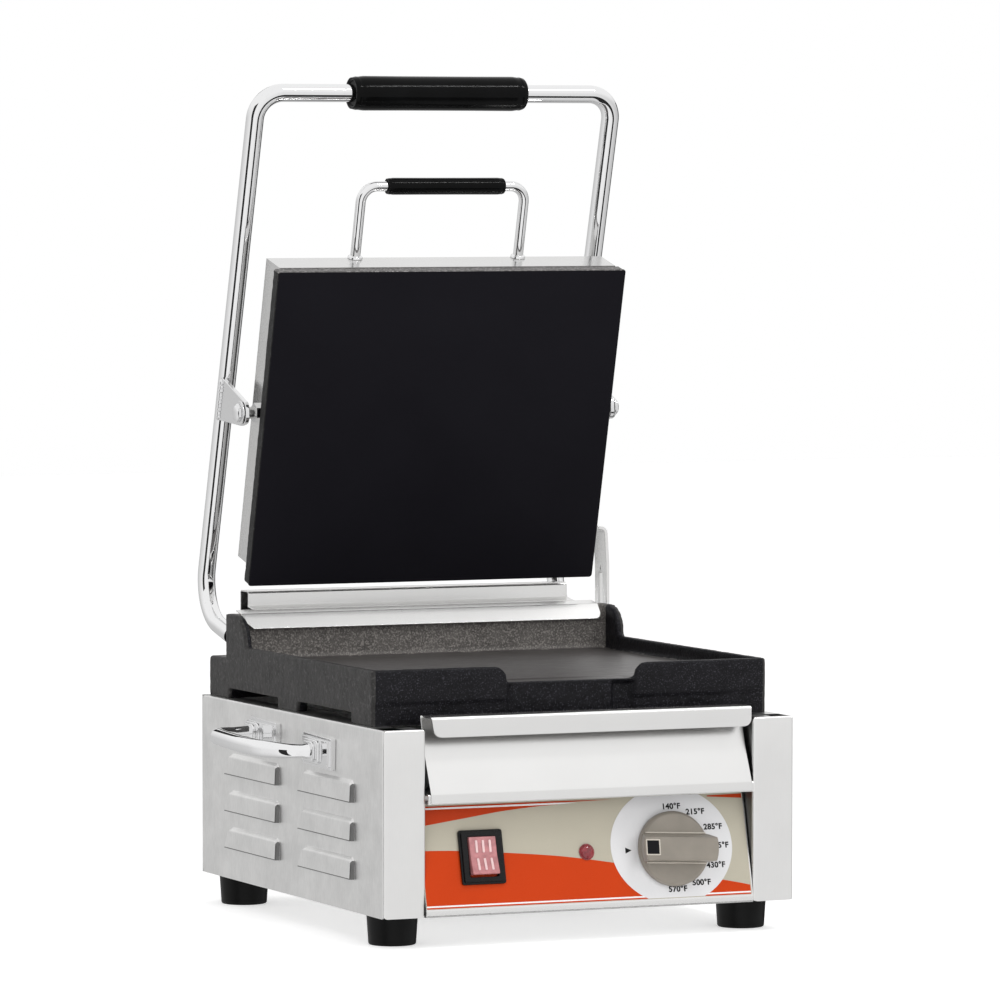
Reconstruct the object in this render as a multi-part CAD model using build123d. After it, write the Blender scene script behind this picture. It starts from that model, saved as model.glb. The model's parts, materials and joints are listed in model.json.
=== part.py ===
from build123d import *
from math import atan2, cos, degrees, hypot, pi, radians, sin, tan
import os

# Panini press: a cast-iron griddle on a stainless housing, with a self-levelling lid on a sprung
# handle frame, a grease tray and a sloping control panel. It is drawn standing open.
# Millimetres, +Z up, +X to the user's right as the user faces the press, -Y towards the user.
# Shapes are drawn from the housing's front face (Y = 0) and the standing surface (Z = 0).
# save() then moves each one so that the origin is under the middle of the whole press.

# Housing
HOUSING_W = 289.0
HOUSING_D = 316.0
HOUSING_TOP = 140.0
SHEET = 1.2
POST_W = 29.2
POST_RETURN = 18.0
POST_BEND = 2.0
TOP_FLANGE = 14.0

# Feet
FOOT_H = 20.0
FOOT_R_TOP = 16.5
FOOT_R_BOTTOM = 14.6
FOOT_INSET_X = 20.5
FOOT_FRONT_Y = 34.8
FOOT_BACK_Y = 292.6
FOOT_SCREW_R = 2.5
PAN_FRONT = 10.0

# Pressed louvres on the side panels
LOUVRE_COLUMNS = ((47.5, 138.5), (176.0, 269.0))
LOUVRE_BOTTOMS = (40.9, 65.6, 90.3)
LOUVRE_H = 15.0
LOUVRE_OUT = 4.5
LOUVRE_CORNER = 6.0

# Carrying handles on the side panels
SIDE_BASE_YS = (102.2, 197.0)
SIDE_BASE_W = 47.0
SIDE_BASE_H = 20.5
SIDE_BASE_Z = 119.0
SIDE_BASE_T = 5.4
SIDE_TILT = 1.8
SIDE_LEG_YS = (105.0, 208.5)
SIDE_BAR_R = 5.4
SIDE_BAR_REACH = 36.5
SIDE_BAR_BEND = 24.0
SIDE_SCREW_R = 2.5

# Sloping control panel, given by its bottom and top edges in Y and Z
PANEL_HALF_W = 114.6
PANEL_LOW = (-3.0, 24.0)
PANEL_HIGH = (13.6, 91.6)
PANEL_TILT = degrees(atan2(PANEL_HIGH[0] - PANEL_LOW[0], PANEL_HIGH[1] - PANEL_LOW[1]))
PANEL_LENGTH = hypot(PANEL_HIGH[0] - PANEL_LOW[0], PANEL_HIGH[1] - PANEL_LOW[1])
OVERLAY_T = 0.4
OVERLAY_HALF_W = 113.4
OVERLAY_HALF_H = 33.6
SWITCH_X = -75.0
SWITCH_V = -1.5
LAMP_X = -1.2
LAMP_V = -1.2
LAMP_R = 5.3
KNOB_X = 59.4
KNOB_V = -1.9
KNOB_SKIRT_R = 24.5
KNOB_SKIRT_T = 7.0
KNOB_H = 17.5
KNOB_GRIP_W = 16.0
KNOB_GRIP_R = 26.3
KNOB_EDGE = 0.8
SHAFT_R = 3.0

# Switch
BEZEL_W = 30.4
BEZEL_H = 35.2
BEZEL_T = 3.5
ROCKER_W = 19.0
ROCKER_H = 25.0
ROCKER_SWING = 12.0

# Grease tray and the rail under it
TRAY_HALF_W = 112.0
TRAY_FLOOR = 99.8
TRAY_TOP = 137.0
TRAY_BACK = 236.0
TRAY_FACE_LOW = (2.2, 99.4)
TRAY_FACE_HIGH = (14.0, 147.6)
TRAY_LIP_Y = -2.0
TRAY_LIP_LOW = 134.4
TRAY_BOX_HALF_W = 104.0
RAIL_FRONT_Y = -3.0
RAIL_LOW = 92.0
RAIL_HIGH = 98.7

# Lower griddle casting
GRIDDLE_HALF_W = 138.8
GRIDDLE_FRONT = 29.8
GRIDDLE_BACK = 316.0
GRIDDLE_BOTTOM = 140.0
GRIDDLE_PLATE = 166.0
GRIDDLE_RIM = 176.0
GRIDDLE_WALL = 5.0
GRIDDLE_FRONT_WALL = 4.2
GRIDDLE_CORNER = 2.0
NOTCH_HALF_W = 45.0
NOTCH_CORNER = 9.0
SPLASH_FRONT = 273.0
SPLASH_BACK = 285.0
SPLASH_TOP = 196.6
CHEEK_FRONT = 250.0
CHEEK_W = 5.6
LEDGE_TOP = 166.5
HEATER_POCKET_TOP = 156.0
HEATER_POCKET_WALL = 8.5
SKIRT_GAPS = ((66.0, 158.0), (192.0, 280.0))
SKIRT_GAP_H = 6.5
GRIDDLE_BOLT_YS = (48.0, 175.0, 294.0)
GRIDDLE_BOLT_X = 134.6
GRIDDLE_BOLT_R = 2.0

# Stainless cap on the splash wall and the cover over the hinge shaft
CAP_HALF_W = 131.5
CAP_LIP_FRONT = 270.0
CAP_LIP_LOW = 187.0
CAP_LIP_TOP_Y = 277.0
CAP_TOP = 197.8
CAP_BACK = 286.6
COVER_HALF_W = 118.0
COVER_FRONT = 298.0
COVER_BACK = 313.0
COVER_LOW = 168.0
COVER_TOP = 210.4

# Hinge
PIVOT_Y = 296.0
PIVOT_Z = 177.0
HINGE_SHAFT_R = 5.0
HINGE_FIT = 0.05
BUSH_R = 6.6
LUG_X = 107.0
LUG_T = 9.0
HUB_R = 8.0
HUB_W = 15.0
SPRING_R = 8.0
SPRING_WIRE_R = 1.15
SPRING_TURNS = 6
SPRING_PITCH = 4.2
SPRING_X = 74.0

# Handle frame: one bent tube, with a lean from the vertical
ARM_X = 130.0
TUBE_R = 6.0
TUBE_BORE_R = 4.6
ARM_LEAN = 16.4
LEG_LENGTH = 58.9
ARM_LENGTH = 366.6
LEG_BEND = 30.0
TOP_BEND = 18.0
GRIP_HALF_W = 65.5
GRIP_R = 11.7
GRIP_ROUND = 4.0

# Lid, given by its rear edge, its lean from the vertical and its own sizes
LID_EDGE = (275.9, 214.7)
LID_LEAN = 14.7
LID_HALF_W = 127.0
LID_L = 219.4
LID_PLATE_T = 9.0
LID_T = 35.0
LID_COVER_INSET = 4.5
LID_COVER_START = 11.0
LID_SHEET = 1.0
LID_PIVOT_S = 116.0
LID_PIVOT_D = 20.0
PIVOT_BOLT_R = 4.0
PIVOT_BOLT_FIT = 0.08
BRACKET_IN = 132.5
BRACKET_T = 3.0
BOSS_W = 16.0
LID_HANDLE_X = 59.6
LID_HANDLE_R = 3.4
LID_HANDLE_D = 31.0
LID_HANDLE_RISE = 50.0
LID_HANDLE_BEND = 11.0
LID_GRIP_R = 5.6
LID_GRIP_HALF_W = 43.7
COVER_SCREW_R = 1.7

# Cable gland on the rear panel
GLAND_X = -95.0
GLAND_Z = 48.0
GLAND_BORE_R = 4.2
GLAND_NECK = 8.0
GLAND_LENGTH = 23.0

# Upright guard strip at the rear right corner
STRIP_Y = (291.0, 310.0)
STRIP_T = 2.5
STRIP_TOP = 249.0
STRIP_FOOT = 92.0
STRIP_IN = 138.6
STRIP_SLOT_Z = 200.0
STRIP_SLOT_L = 36.0
STRIP_SCREW_ZS = (102.0, 126.0)
STRIP_SCREW_R = 2.0

ELEMENT_R = 3.2

HALF_W = HOUSING_W / 2
TILT = radians(PANEL_TILT)
LEAN = radians(ARM_LEAN)
ARM_CORNER_Y = PIVOT_Y + LEG_LENGTH * cos(LEAN)
ARM_CORNER_Z = PIVOT_Z + LEG_LENGTH * sin(LEAN)
BAR_Y = ARM_CORNER_Y - ARM_LENGTH * sin(LEAN)
BAR_Z = ARM_CORNER_Z + ARM_LENGTH * cos(LEAN)

# The rearmost point is the outside of the arm's lower bend, the foremost is the knob's rim.
PRESS_BACK = ARM_CORNER_Y - LEG_BEND * (cos(LEAN) + sin(LEAN) - 1) + TUBE_R
PANEL_MID = ((PANEL_LOW[0] + PANEL_HIGH[0]) / 2, (PANEL_LOW[1] + PANEL_HIGH[1]) / 2)
KNOB_Y = PANEL_MID[0] + KNOB_V * sin(TILT)
PRESS_FRONT = KNOB_Y - KNOB_H * cos(TILT) - (KNOB_GRIP_W / 2 - KNOB_EDGE) * sin(TILT)
ORIGIN_Y = (PRESS_FRONT + PRESS_BACK) / 2

# Planes: the panel's face with Z along its normal, and the lid's face with Z away from the cover.
PANEL = Plane(
    origin=(0, PANEL_MID[0], PANEL_MID[1]), x_dir=(1, 0, 0), z_dir=(0, -cos(TILT), sin(TILT))
)
LID = Plane(
    origin=(0, LID_EDGE[0], LID_EDGE[1]),
    x_dir=(1, 0, 0),
    z_dir=(0, -cos(radians(LID_LEAN)), -sin(radians(LID_LEAN))),
)


def save(name, shape):
    """Write one sub-part, moved to the press's origin."""
    export_step(Pos(0, -ORIGIN_Y, 0) * shape, f"parts/{name}.step")


def span(x0, x1, y0, y1, z0, z1):
    """A block between two corners."""
    centre = Pos((x0 + x1) / 2, (y0 + y1) / 2, (z0 + z1) / 2)
    return centre * Box(abs(x1 - x0), abs(y1 - y0), abs(z1 - z0))


def rod(start, direction, radius, length):
    """A round bar from a point along a direction."""
    place = Plane(origin=start, z_dir=direction)
    return place * extrude(Circle(radius), length)


def both_sides(shape):
    """The shape and its mirror image in the middle plane."""
    return [shape, mirror(shape, about=Plane.YZ)]


def bent_sheet(points, thickness):
    """The outline of a folded sheet: the points are one face, the other lies to their left."""
    normals = []
    for (x0, y0), (x1, y1) in zip(points, points[1:]):
        length = hypot(x1 - x0, y1 - y0)
        normals.append(((y0 - y1) / length, (x1 - x0) / length))
    other = []
    for index, (x, y) in enumerate(points):
        before = normals[max(index - 1, 0)]
        after = normals[min(index, len(normals) - 1)]
        share = 1 + before[0] * after[0] + before[1] * after[1]
        dx = (before[0] + after[0]) / share
        dy = (before[1] + after[1]) / share
        other.append((x + dx * thickness, y + dy * thickness))
    return make_face(Polyline(*points, *reversed(other), close=True))


def along_x(face, x0, x1):
    """A face drawn in Y and Z, drawn out between two X positions."""
    return Pos(x0, 0, 0) * extrude(Plane.YZ * face, x1 - x0)


def tube(path, radius, bore=0.0):
    """A round tube or bar along a path."""
    start = Plane(origin=path @ 0, z_dir=path % 0)
    ring = Circle(radius) - Circle(bore) if bore else Circle(radius)
    return sweep(start * ring, path)


# Housing


def louvre_shape(y0, y1, z0, inset):
    """A louvre's outline at the right panel, or its inside where an inset is given."""
    width = y1 - y0 - 2 * inset
    height = LOUVRE_H - inset
    depth = LOUVRE_OUT - inset
    front = Rectangle(width, height, align=(Align.CENTER, Align.MIN))
    tops = front.vertices().sort_by(Axis.Y)[-2:]
    front = fillet(tops, LOUVRE_CORNER - inset)
    column = extrude(Plane.YZ * front, LOUVRE_OUT)
    low = Line((0, 0), (depth, 0))
    bulge = ThreePointArc((depth, 0), (depth * 0.8, height * 0.55), (0, height))
    back = Line((0, height), (0, 0))
    wedge = Plane.XZ * make_face([low, bulge, back])
    wedge = extrude(wedge, width / 2, both=True)
    return Pos(HALF_W, (y0 + y1) / 2, z0) * (column & wedge)


def side_panel():
    """The right side panel: skin, front post, top flange and six pressed louvres."""
    corners = [
        (HALF_W, HOUSING_D - SHEET),
        (HALF_W, 0),
        (HALF_W - POST_W, 0),
        (HALF_W - POST_W, POST_RETURN),
    ]
    corners.reverse()
    skin = extrude(bent_sheet(corners, SHEET), HOUSING_TOP - FOOT_H)
    skin = Pos(0, 0, FOOT_H) * skin
    outer_edges = skin.edges().filter_by(Axis.Z).filter_by(lambda e: abs(e.center().Y) < 0.01)
    skin = fillet(outer_edges, SHEET * 0.9)
    inside = HALF_W - SHEET
    flange = span(inside - TOP_FLANGE, inside, SHEET, HOUSING_D - SHEET, HOUSING_TOP - SHEET, HOUSING_TOP)
    cap = span(HALF_W - POST_W + SHEET, inside, SHEET, POST_RETURN, HOUSING_TOP - SHEET, HOUSING_TOP)
    skin = skin + flange + cap
    for y0, y1 in LOUVRE_COLUMNS:
        for z0 in LOUVRE_BOTTOMS:
            hood = louvre_shape(y0, y1, z0, 0)
            hollow = louvre_shape(y0, y1, z0, SHEET * 0.8)
            inner_height = LOUVRE_H - LOUVRE_CORNER / 2
            slot = span(HALF_W - 2 * SHEET, HALF_W, y0 + 3, y1 - 3, z0, z0 + inner_height)
            skin = skin - slot + (hood - hollow)
    for y in SIDE_BASE_YS:
        skin = skin - handle_tilt(rod((HALF_W - 5, y, SIDE_BASE_Z), (1, 0, 0), SIDE_SCREW_R, 10))
    for y in GRIDDLE_BOLT_YS:
        skin = skin - rod((GRIDDLE_BOLT_X, y, HOUSING_TOP - 5), (0, 0, 1), GRIDDLE_BOLT_R, 10)
    return skin


def rear_panel():
    """The rear panel with two rows of vents, the gland's hole and six screw holes."""
    back = HOUSING_D - SHEET
    panel = span(-HALF_W, HALF_W, back, HOUSING_D, FOOT_H, HOUSING_TOP)
    for row in range(2):
        for column in range(9):
            x = -80 + column * 20
            z = 92 + row * 22
            slot = extrude(Plane.XZ * SlotOverall(14, 4, rotation=90), 5, both=True)
            panel = panel - Pos(x, back, z) * slot
    panel = panel - rod((GLAND_X, back - 2, GLAND_Z), (0, 1, 0), GLAND_NECK + 0.1, 6)
    for x, z in rear_screw_places():
        panel = panel - rod((x, back - 2, z), (0, 1, 0), 1.8, 6)
    return panel


def rear_screw_places():
    return [(x, z) for x in (-136, 136) for z in (32, 80, 128)]


def rear_panel_screws():
    """Six pan-head screws."""
    screws = []
    for x, z in rear_screw_places():
        head = rod((x, HOUSING_D, z), (0, 1, 0), 3.4, 2.2)
        head = fillet(head.edges().sort_by(Axis.Y)[-1], 1.2)
        head = head - span(x - 2.4, x + 2.4, HOUSING_D + 1.4, HOUSING_D + 3, z - 0.4, z + 0.4)
        head = head - span(x - 0.4, x + 0.4, HOUSING_D + 1.4, HOUSING_D + 3, z - 2.4, z + 2.4)
        screws.append(head + rod((x, HOUSING_D - 8, z), (0, 1, 0), 1.7, 8))
    return Compound(screws)


def bottom_pan():
    """The bottom pan: side flanges up inside the panels, cooling slots and foot holes."""
    inside = HALF_W - SHEET
    pan = span(-inside, inside, PAN_FRONT, HOUSING_D - SHEET, FOOT_H, FOOT_H + SHEET)
    for side in (-1, 1):
        wall = side * inside
        pan = pan + span(wall, wall - side * SHEET, POST_RETURN + 2, HOUSING_D - SHEET, FOOT_H, FOOT_H + 12)
        corner_x = side * (HALF_W - POST_W - 0.4)
        pan = pan - span(corner_x, side * HALF_W, 0, POST_RETURN + 0.4, 0, FOOT_H + 30)
    for column in range(7):
        slot = extrude(SlotOverall(60, 5, rotation=90), 5, both=True)
        pan = pan - Pos(-60 + column * 20, 160, FOOT_H) * slot
    for x, y in foot_places():
        pan = pan - rod((x, y, FOOT_H - 2), (0, 0, 1), FOOT_SCREW_R + 0.2, 6)
    return pan


def foot_places():
    x = HALF_W - FOOT_INSET_X
    return [(side * x, y) for side in (-1, 1) for y in (FOOT_FRONT_Y, FOOT_BACK_Y)]


def feet():
    """Four tapered rubber feet, each with a screw well from below."""
    made = []
    for x, y in foot_places():
        foot = Pos(x, y, FOOT_H / 2) * Cone(FOOT_R_BOTTOM, FOOT_R_TOP, FOOT_H)
        foot = fillet(foot.edges().sort_by(Axis.Z)[0], 1.2)
        foot = foot - rod((x, y, -1), (0, 0, 1), 6.2, 11)
        foot = foot - rod((x, y, 0), (0, 0, 1), FOOT_SCREW_R + 0.1, FOOT_H + 1)
        made.append(foot)
    return Compound(made)


def foot_screws():
    """A screw, washer and nut in each foot."""
    made = []
    for x, y in foot_places():
        shank = rod((x, y, 8), (0, 0, 1), FOOT_SCREW_R, FOOT_H - 8 + 8)
        head = rod((x, y, 6.5), (0, 0, 1), 4.6, 3.5)
        nut = Pos(x, y, FOOT_H + SHEET) * extrude(RegularPolygon(4.6, 6), 4)
        made.append(head + shank + nut)
    return Compound(made)


def handle_tilt(shape):
    """The shape turned with the carrying handle, whose rear end stands a little higher."""
    centre = (0, SIDE_BASE_YS[0], SIDE_BASE_Z)
    return Pos(*centre) * Rot(SIDE_TILT, 0, 0) * Pos(*(-c for c in centre)) * shape


def side_handle_bases():
    """Two rectangular mounting plates with a round boss, on the right side panel."""
    made = []
    for y, leg_y in zip(SIDE_BASE_YS, SIDE_LEG_YS):
        plate = Box(SIDE_BASE_T, SIDE_BASE_W, SIDE_BASE_H)
        plate = fillet(plate.edges().filter_by(Axis.X), 1.5)
        plate = Pos(HALF_W + SIDE_BASE_T / 2, y, SIDE_BASE_Z) * plate
        boss = rod((HALF_W + SIDE_BASE_T, leg_y, SIDE_BASE_Z), (1, 0, 0), SIDE_BAR_R + 2.0, 2.5)
        blind = rod((HALF_W - 1, y, SIDE_BASE_Z), (1, 0, 0), SIDE_SCREW_R, SIDE_BASE_T)
        made.append(handle_tilt(plate + boss - blind))
    return made


def side_handle_bar():
    """The bowed carrying bar between the two mounting plates on the right side."""
    x0 = HALF_W + SIDE_BASE_T + 2.5
    x1 = HALF_W + SIDE_BAR_REACH
    y0, y1 = SIDE_LEG_YS
    z = SIDE_BASE_Z
    path = FilletPolyline((x0, y0, z), (x1, y0, z), (x1, y1, z), (x0, y1, z), radius=SIDE_BAR_BEND)
    return handle_tilt(tube(path, SIDE_BAR_R))


def side_handle_screws():
    """Screws from inside the housing into the handle plates."""
    made = []
    for y in SIDE_BASE_YS:
        shank = rod((HALF_W - SHEET, y, SIDE_BASE_Z), (1, 0, 0), SIDE_SCREW_R, SHEET + SIDE_BASE_T - 1)
        head = rod((HALF_W - SHEET - 3, y, SIDE_BASE_Z), (1, 0, 0), 4.4, 3)
        made.append(handle_tilt(shank + head))
    return made


# Control panel


def control_panel():
    """The sloping panel with a bottom lip, a rearward top flange and holes for the controls."""
    low_y, low_z = PANEL_LOW
    high_y, high_z = PANEL_HIGH
    outline = [
        (low_y + 12, FOOT_H),
        (low_y, FOOT_H),
        (low_y, low_z),
        (high_y, high_z),
        (high_y + 10, high_z),
    ]
    outline.reverse()
    sheet = along_x(bent_sheet(outline, SHEET), -PANEL_HALF_W, PANEL_HALF_W)
    sheet = sheet - PANEL * Pos(SWITCH_X, SWITCH_V) * Box(22.4, 28.4, 8)
    sheet = sheet - PANEL * Pos(LAMP_X, LAMP_V) * Cylinder(4.6, 8)
    sheet = sheet - PANEL * Pos(KNOB_X, KNOB_V) * Cylinder(5.2, 8)
    return sheet


def panel_overlay():
    """The thin printed plate glued on the panel."""
    overlay = RectangleRounded(2 * OVERLAY_HALF_W, 2 * OVERLAY_HALF_H, 1.0)
    overlay = overlay - Pos(SWITCH_X, SWITCH_V) * Rectangle(24, 30)
    overlay = overlay - Pos(LAMP_X, LAMP_V) * Circle(4.7)
    overlay = overlay - Pos(KNOB_X, KNOB_V) * Circle(5.4)
    return PANEL * extrude(overlay, OVERLAY_T)


def switch_housing():
    """The rocker switch's bezel and body, with the well that the rocker swings in."""
    bezel = Pos(0, 0, OVERLAY_T) * extrude(RectangleRounded(BEZEL_W, BEZEL_H, 2.0), BEZEL_T)
    bezel = chamfer(bezel.faces().sort_by(Axis.Z)[-1].edges(), 1.0)
    body = Pos(0, 0, -20) * extrude(Rectangle(22, 28), 20 + OVERLAY_T)
    well = Pos(0, 0, -8) * extrude(Rectangle(ROCKER_W + 0.8, ROCKER_H + 1.8), 20)
    spades = [Pos(0, v, -26) * Box(6.3, 0.8, 12) for v in (-8, 0, 8)]
    switch = bezel + body - well
    for spade in spades:
        switch = switch + spade
    return PANEL * Pos(SWITCH_X, SWITCH_V) * switch


def rocker_profile():
    """The rocker's side view: a shallow V on top and a narrower belly below the pivot."""
    half = ROCKER_H / 2
    rise = half * tan(radians(ROCKER_SWING / 2))
    top = 4.0
    low = -2.5
    points = [(-half, top + rise), (0, top), (half, top + rise), (half - 1.5, low), (1.5 - half, low)]
    return make_face(Polyline(*points, close=True))


def switch_rocker():
    """The rocker, pressed at its upper half."""
    face = Plane.YZ * rocker_profile()
    block = extrude(face, ROCKER_W / 2, both=True)
    block = Rot(-ROCKER_SWING / 2, 0, 0) * block
    return PANEL * Pos(SWITCH_X, SWITCH_V) * block


def pilot_lamp_lens():
    """The domed lens of the pilot lamp."""
    lens = Pos(0, 0, OVERLAY_T) * extrude(Circle(LAMP_R), 3.0)
    lens = fillet(lens.edges().sort_by(Axis.Z)[-1], 2.6)
    stem = Pos(0, 0, -4) * extrude(Circle(4.3), 4 + OVERLAY_T)
    return PANEL * Pos(LAMP_X, LAMP_V) * (lens + stem)


def pilot_lamp_body():
    """The lamp's holder behind the panel."""
    holder = Pos(0, 0, -24) * extrude(Circle(5.5), 20) + Pos(0, 0, -7) * extrude(RegularPolygon(8, 6), 3)
    return PANEL * Pos(LAMP_X, LAMP_V) * holder


def thermostat_body():
    """The thermostat behind the knob, with its neck and bearing for the shaft."""
    can = Pos(0, 0, -34) * extrude(RectangleRounded(38, 34, 3), 30)
    neck = Pos(0, 0, -4) * extrude(Circle(5.0), 4)
    body = can + neck - Pos(0, 0, -20) * extrude(Circle(SHAFT_R + 0.06), 30)
    return PANEL * Pos(KNOB_X, KNOB_V) * body


def thermostat_shaft():
    """The shaft that the knob turns, with a flat at its outer end."""
    shaft = Pos(0, 0, -19) * extrude(Circle(SHAFT_R), 19 + KNOB_H - 6)
    flat = Pos(0, SHAFT_R + 0.8, 6) * Box(8, 3, 30, align=(Align.CENTER, Align.CENTER, Align.MIN))
    return PANEL * Pos(KNOB_X, KNOB_V) * (shaft - flat)


def control_knob():
    """Round skirt with a diametral grip bar, bored for the shaft."""
    skirt = Pos(0, 0, OVERLAY_T + 0.6) * extrude(Circle(KNOB_SKIRT_R), KNOB_SKIRT_T)
    skirt = fillet(skirt.edges().sort_by(Axis.Z)[-1], 2.0)
    bar = Pos(0, 0, 4) * extrude(Rectangle(2 * KNOB_GRIP_R + 2, KNOB_GRIP_W), KNOB_H - 4)
    bar = bar & extrude(Circle(KNOB_GRIP_R), KNOB_H)
    bar = chamfer(bar.faces().sort_by(Axis.Z)[-1].edges(), KNOB_EDGE)
    window = Pos(-KNOB_GRIP_R, 0, KNOB_H - 2) * Box(22, 9, 8)
    bore = extrude(Circle(SHAFT_R + 0.02), KNOB_H - 5)
    return PANEL * Pos(KNOB_X, KNOB_V) * (skirt + bar - window - bore)


def knob_pointer():
    """The square pointer insert at the grip's left end."""
    insert = Pos(-KNOB_GRIP_R + 6.8, 0, KNOB_H - 3.9) * Box(8.4, 8.8, 4.0)
    return PANEL * Pos(KNOB_X, KNOB_V) * insert


# Grease tray


def front_rail():
    """The rail across the front between the control panel and the tray."""
    outline = [
        (RAIL_FRONT_Y, RAIL_LOW),
        (RAIL_FRONT_Y, RAIL_HIGH),
        (PANEL_HIGH[0] + 12, RAIL_HIGH),
        (PANEL_HIGH[0] + 12, PANEL_HIGH[1] + 0.6),
    ]
    outline.reverse()
    return along_x(bent_sheet(outline, SHEET), -PANEL_HALF_W, PANEL_HALF_W)


def tray_rails():
    """Two shelves that the tray slides on."""
    inside = HALF_W - SHEET
    shelf = span(TRAY_BOX_HALF_W - 6, inside, 28, TRAY_BACK + 20, RAIL_HIGH - 0.4, RAIL_HIGH + 0.8)
    lip = span(inside - SHEET, inside, 28, TRAY_BACK + 20, RAIL_HIGH - 9, RAIL_HIGH)
    guide = span(TRAY_BOX_HALF_W + 2, TRAY_BOX_HALF_W + 3.2, 30, TRAY_BACK + 20, RAIL_HIGH, RAIL_HIGH + 16)
    return Compound(both_sides(shelf + lip + guide))


def grease_tray():
    """The tray: sloping face, pull lip along its top edge, and an open box behind."""
    outline = [
        (TRAY_LIP_Y, TRAY_LIP_LOW),
        (TRAY_LIP_Y, TRAY_FACE_HIGH[1]),
        (TRAY_FACE_HIGH[0], TRAY_FACE_HIGH[1]),
        (TRAY_FACE_LOW[0], TRAY_FACE_LOW[1]),
    ]
    lip = along_x(bent_sheet(outline[:3][::-1], SHEET), -TRAY_HALF_W, TRAY_HALF_W)
    corners = lip.edges().filter_by(Axis.Y).filter_by(lambda e: e.center().Z < TRAY_LIP_LOW + 0.1)
    lip = fillet(corners, 5.0)
    face = along_x(bent_sheet(outline[2:], -SHEET), -TRAY_HALF_W - 1.5, TRAY_HALF_W + 1.5)
    box = span(-TRAY_BOX_HALF_W, TRAY_BOX_HALF_W, 3.6, TRAY_BACK, TRAY_FLOOR, TRAY_TOP)
    inner = span(-TRAY_BOX_HALF_W + 1, TRAY_BOX_HALF_W - 1, -20, TRAY_BACK - 1, TRAY_FLOOR + 1, TRAY_TOP + 9)
    slope = Polyline((-30, 80), TRAY_FACE_LOW, TRAY_FACE_HIGH, (-30, 160), close=True)
    front = along_x(make_face(slope), -200, 200)
    return (box - inner - front) + face + lip


# Lower griddle


def skirt_cutters():
    """Openings under the casting's side skirts."""
    cutters = []
    for y0, y1 in SKIRT_GAPS:
        block = span(-200, 200, y0, y1, GRIDDLE_BOTTOM - 1, GRIDDLE_BOTTOM + SKIRT_GAP_H)
        cutters.append(block)
    return cutters


def lower_griddle():
    """The casting: cooking plate, rim, grease notch and spout, splash wall with cheeks, rear ledge."""
    depth = GRIDDLE_BACK - GRIDDLE_FRONT
    middle = (GRIDDLE_FRONT + GRIDDLE_BACK) / 2
    outer = RectangleRounded(2 * GRIDDLE_HALF_W, depth, GRIDDLE_CORNER)
    body = Pos(0, middle, GRIDDLE_BOTTOM) * extrude(outer, GRIDDLE_RIM - GRIDDLE_BOTTOM)
    wall_in = GRIDDLE_HALF_W - GRIDDLE_WALL
    front_in = GRIDDLE_FRONT + GRIDDLE_FRONT_WALL
    basin = span(-wall_in, wall_in, front_in, SPLASH_FRONT, GRIDDLE_PLATE, GRIDDLE_RIM + 1)
    basin = fillet(basin.edges().filter_by(Axis.Z), 4.0)
    body = body - basin
    ledge = span(-200, 200, SPLASH_BACK, GRIDDLE_BACK + 1, LEDGE_TOP, GRIDDLE_RIM + 1)
    body = body - ledge
    notch = Rectangle(2 * NOTCH_HALF_W, 40, align=(Align.CENTER, Align.MIN))
    notch_cut = extrude(Plane.XZ * notch, 20, both=True)
    body = body - Pos(0, GRIDDLE_FRONT, GRIDDLE_PLATE - 0.6) * notch_cut
    rounded = body.edges().filter_by(Axis.Y).filter_by(
        lambda e: abs(e.center().Z - GRIDDLE_RIM) < 0.01 and abs(abs(e.center().X) - NOTCH_HALF_W) < 0.01
    )
    body = fillet(rounded, NOTCH_CORNER)
    slope = (CAP_LIP_TOP_Y - CAP_LIP_FRONT) / (SPLASH_TOP - CAP_LIP_LOW)
    bevel_z = SPLASH_TOP - (CAP_LIP_TOP_Y + 0.3 - SPLASH_FRONT) / slope
    wall = Polyline(
        (SPLASH_FRONT, GRIDDLE_PLATE - 4),
        (SPLASH_BACK, GRIDDLE_PLATE - 4),
        (SPLASH_BACK, SPLASH_TOP),
        (CAP_LIP_TOP_Y + 0.3, SPLASH_TOP),
        (SPLASH_FRONT, bevel_z),
        close=True,
    )
    body = body + along_x(make_face(wall), -wall_in, wall_in)
    radius = SPLASH_TOP - GRIDDLE_RIM + 2
    cheek = Polyline(
        (CHEEK_FRONT, GRIDDLE_RIM - 4),
        (SPLASH_BACK, GRIDDLE_RIM - 10),
        (SPLASH_BACK, SPLASH_TOP),
        (CHEEK_FRONT, SPLASH_TOP),
        close=True,
    )
    cheek_face = fillet(make_face(cheek).vertices().sort_by(Axis.X)[:2].sort_by(Axis.Y)[-1:], radius - 3)
    for x in (-GRIDDLE_HALF_W, GRIDDLE_HALF_W - CHEEK_W):
        body = body + along_x(cheek_face, x, x + CHEEK_W)
    pocket_half = GRIDDLE_HALF_W - HEATER_POCKET_WALL
    pocket = span(
        -pocket_half,
        pocket_half,
        GRIDDLE_FRONT + HEATER_POCKET_WALL,
        SPLASH_FRONT,
        GRIDDLE_BOTTOM - 1,
        HEATER_POCKET_TOP,
    )
    body = body - pocket
    for cutter in skirt_cutters():
        body = body - cutter
    for side in (-1, 1):
        for y in GRIDDLE_BOLT_YS:
            start = (side * GRIDDLE_BOLT_X, y, GRIDDLE_BOTTOM - 1)
            body = body - rod(start, (0, 0, 1), GRIDDLE_BOLT_R, 9.5)
    return body


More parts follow.
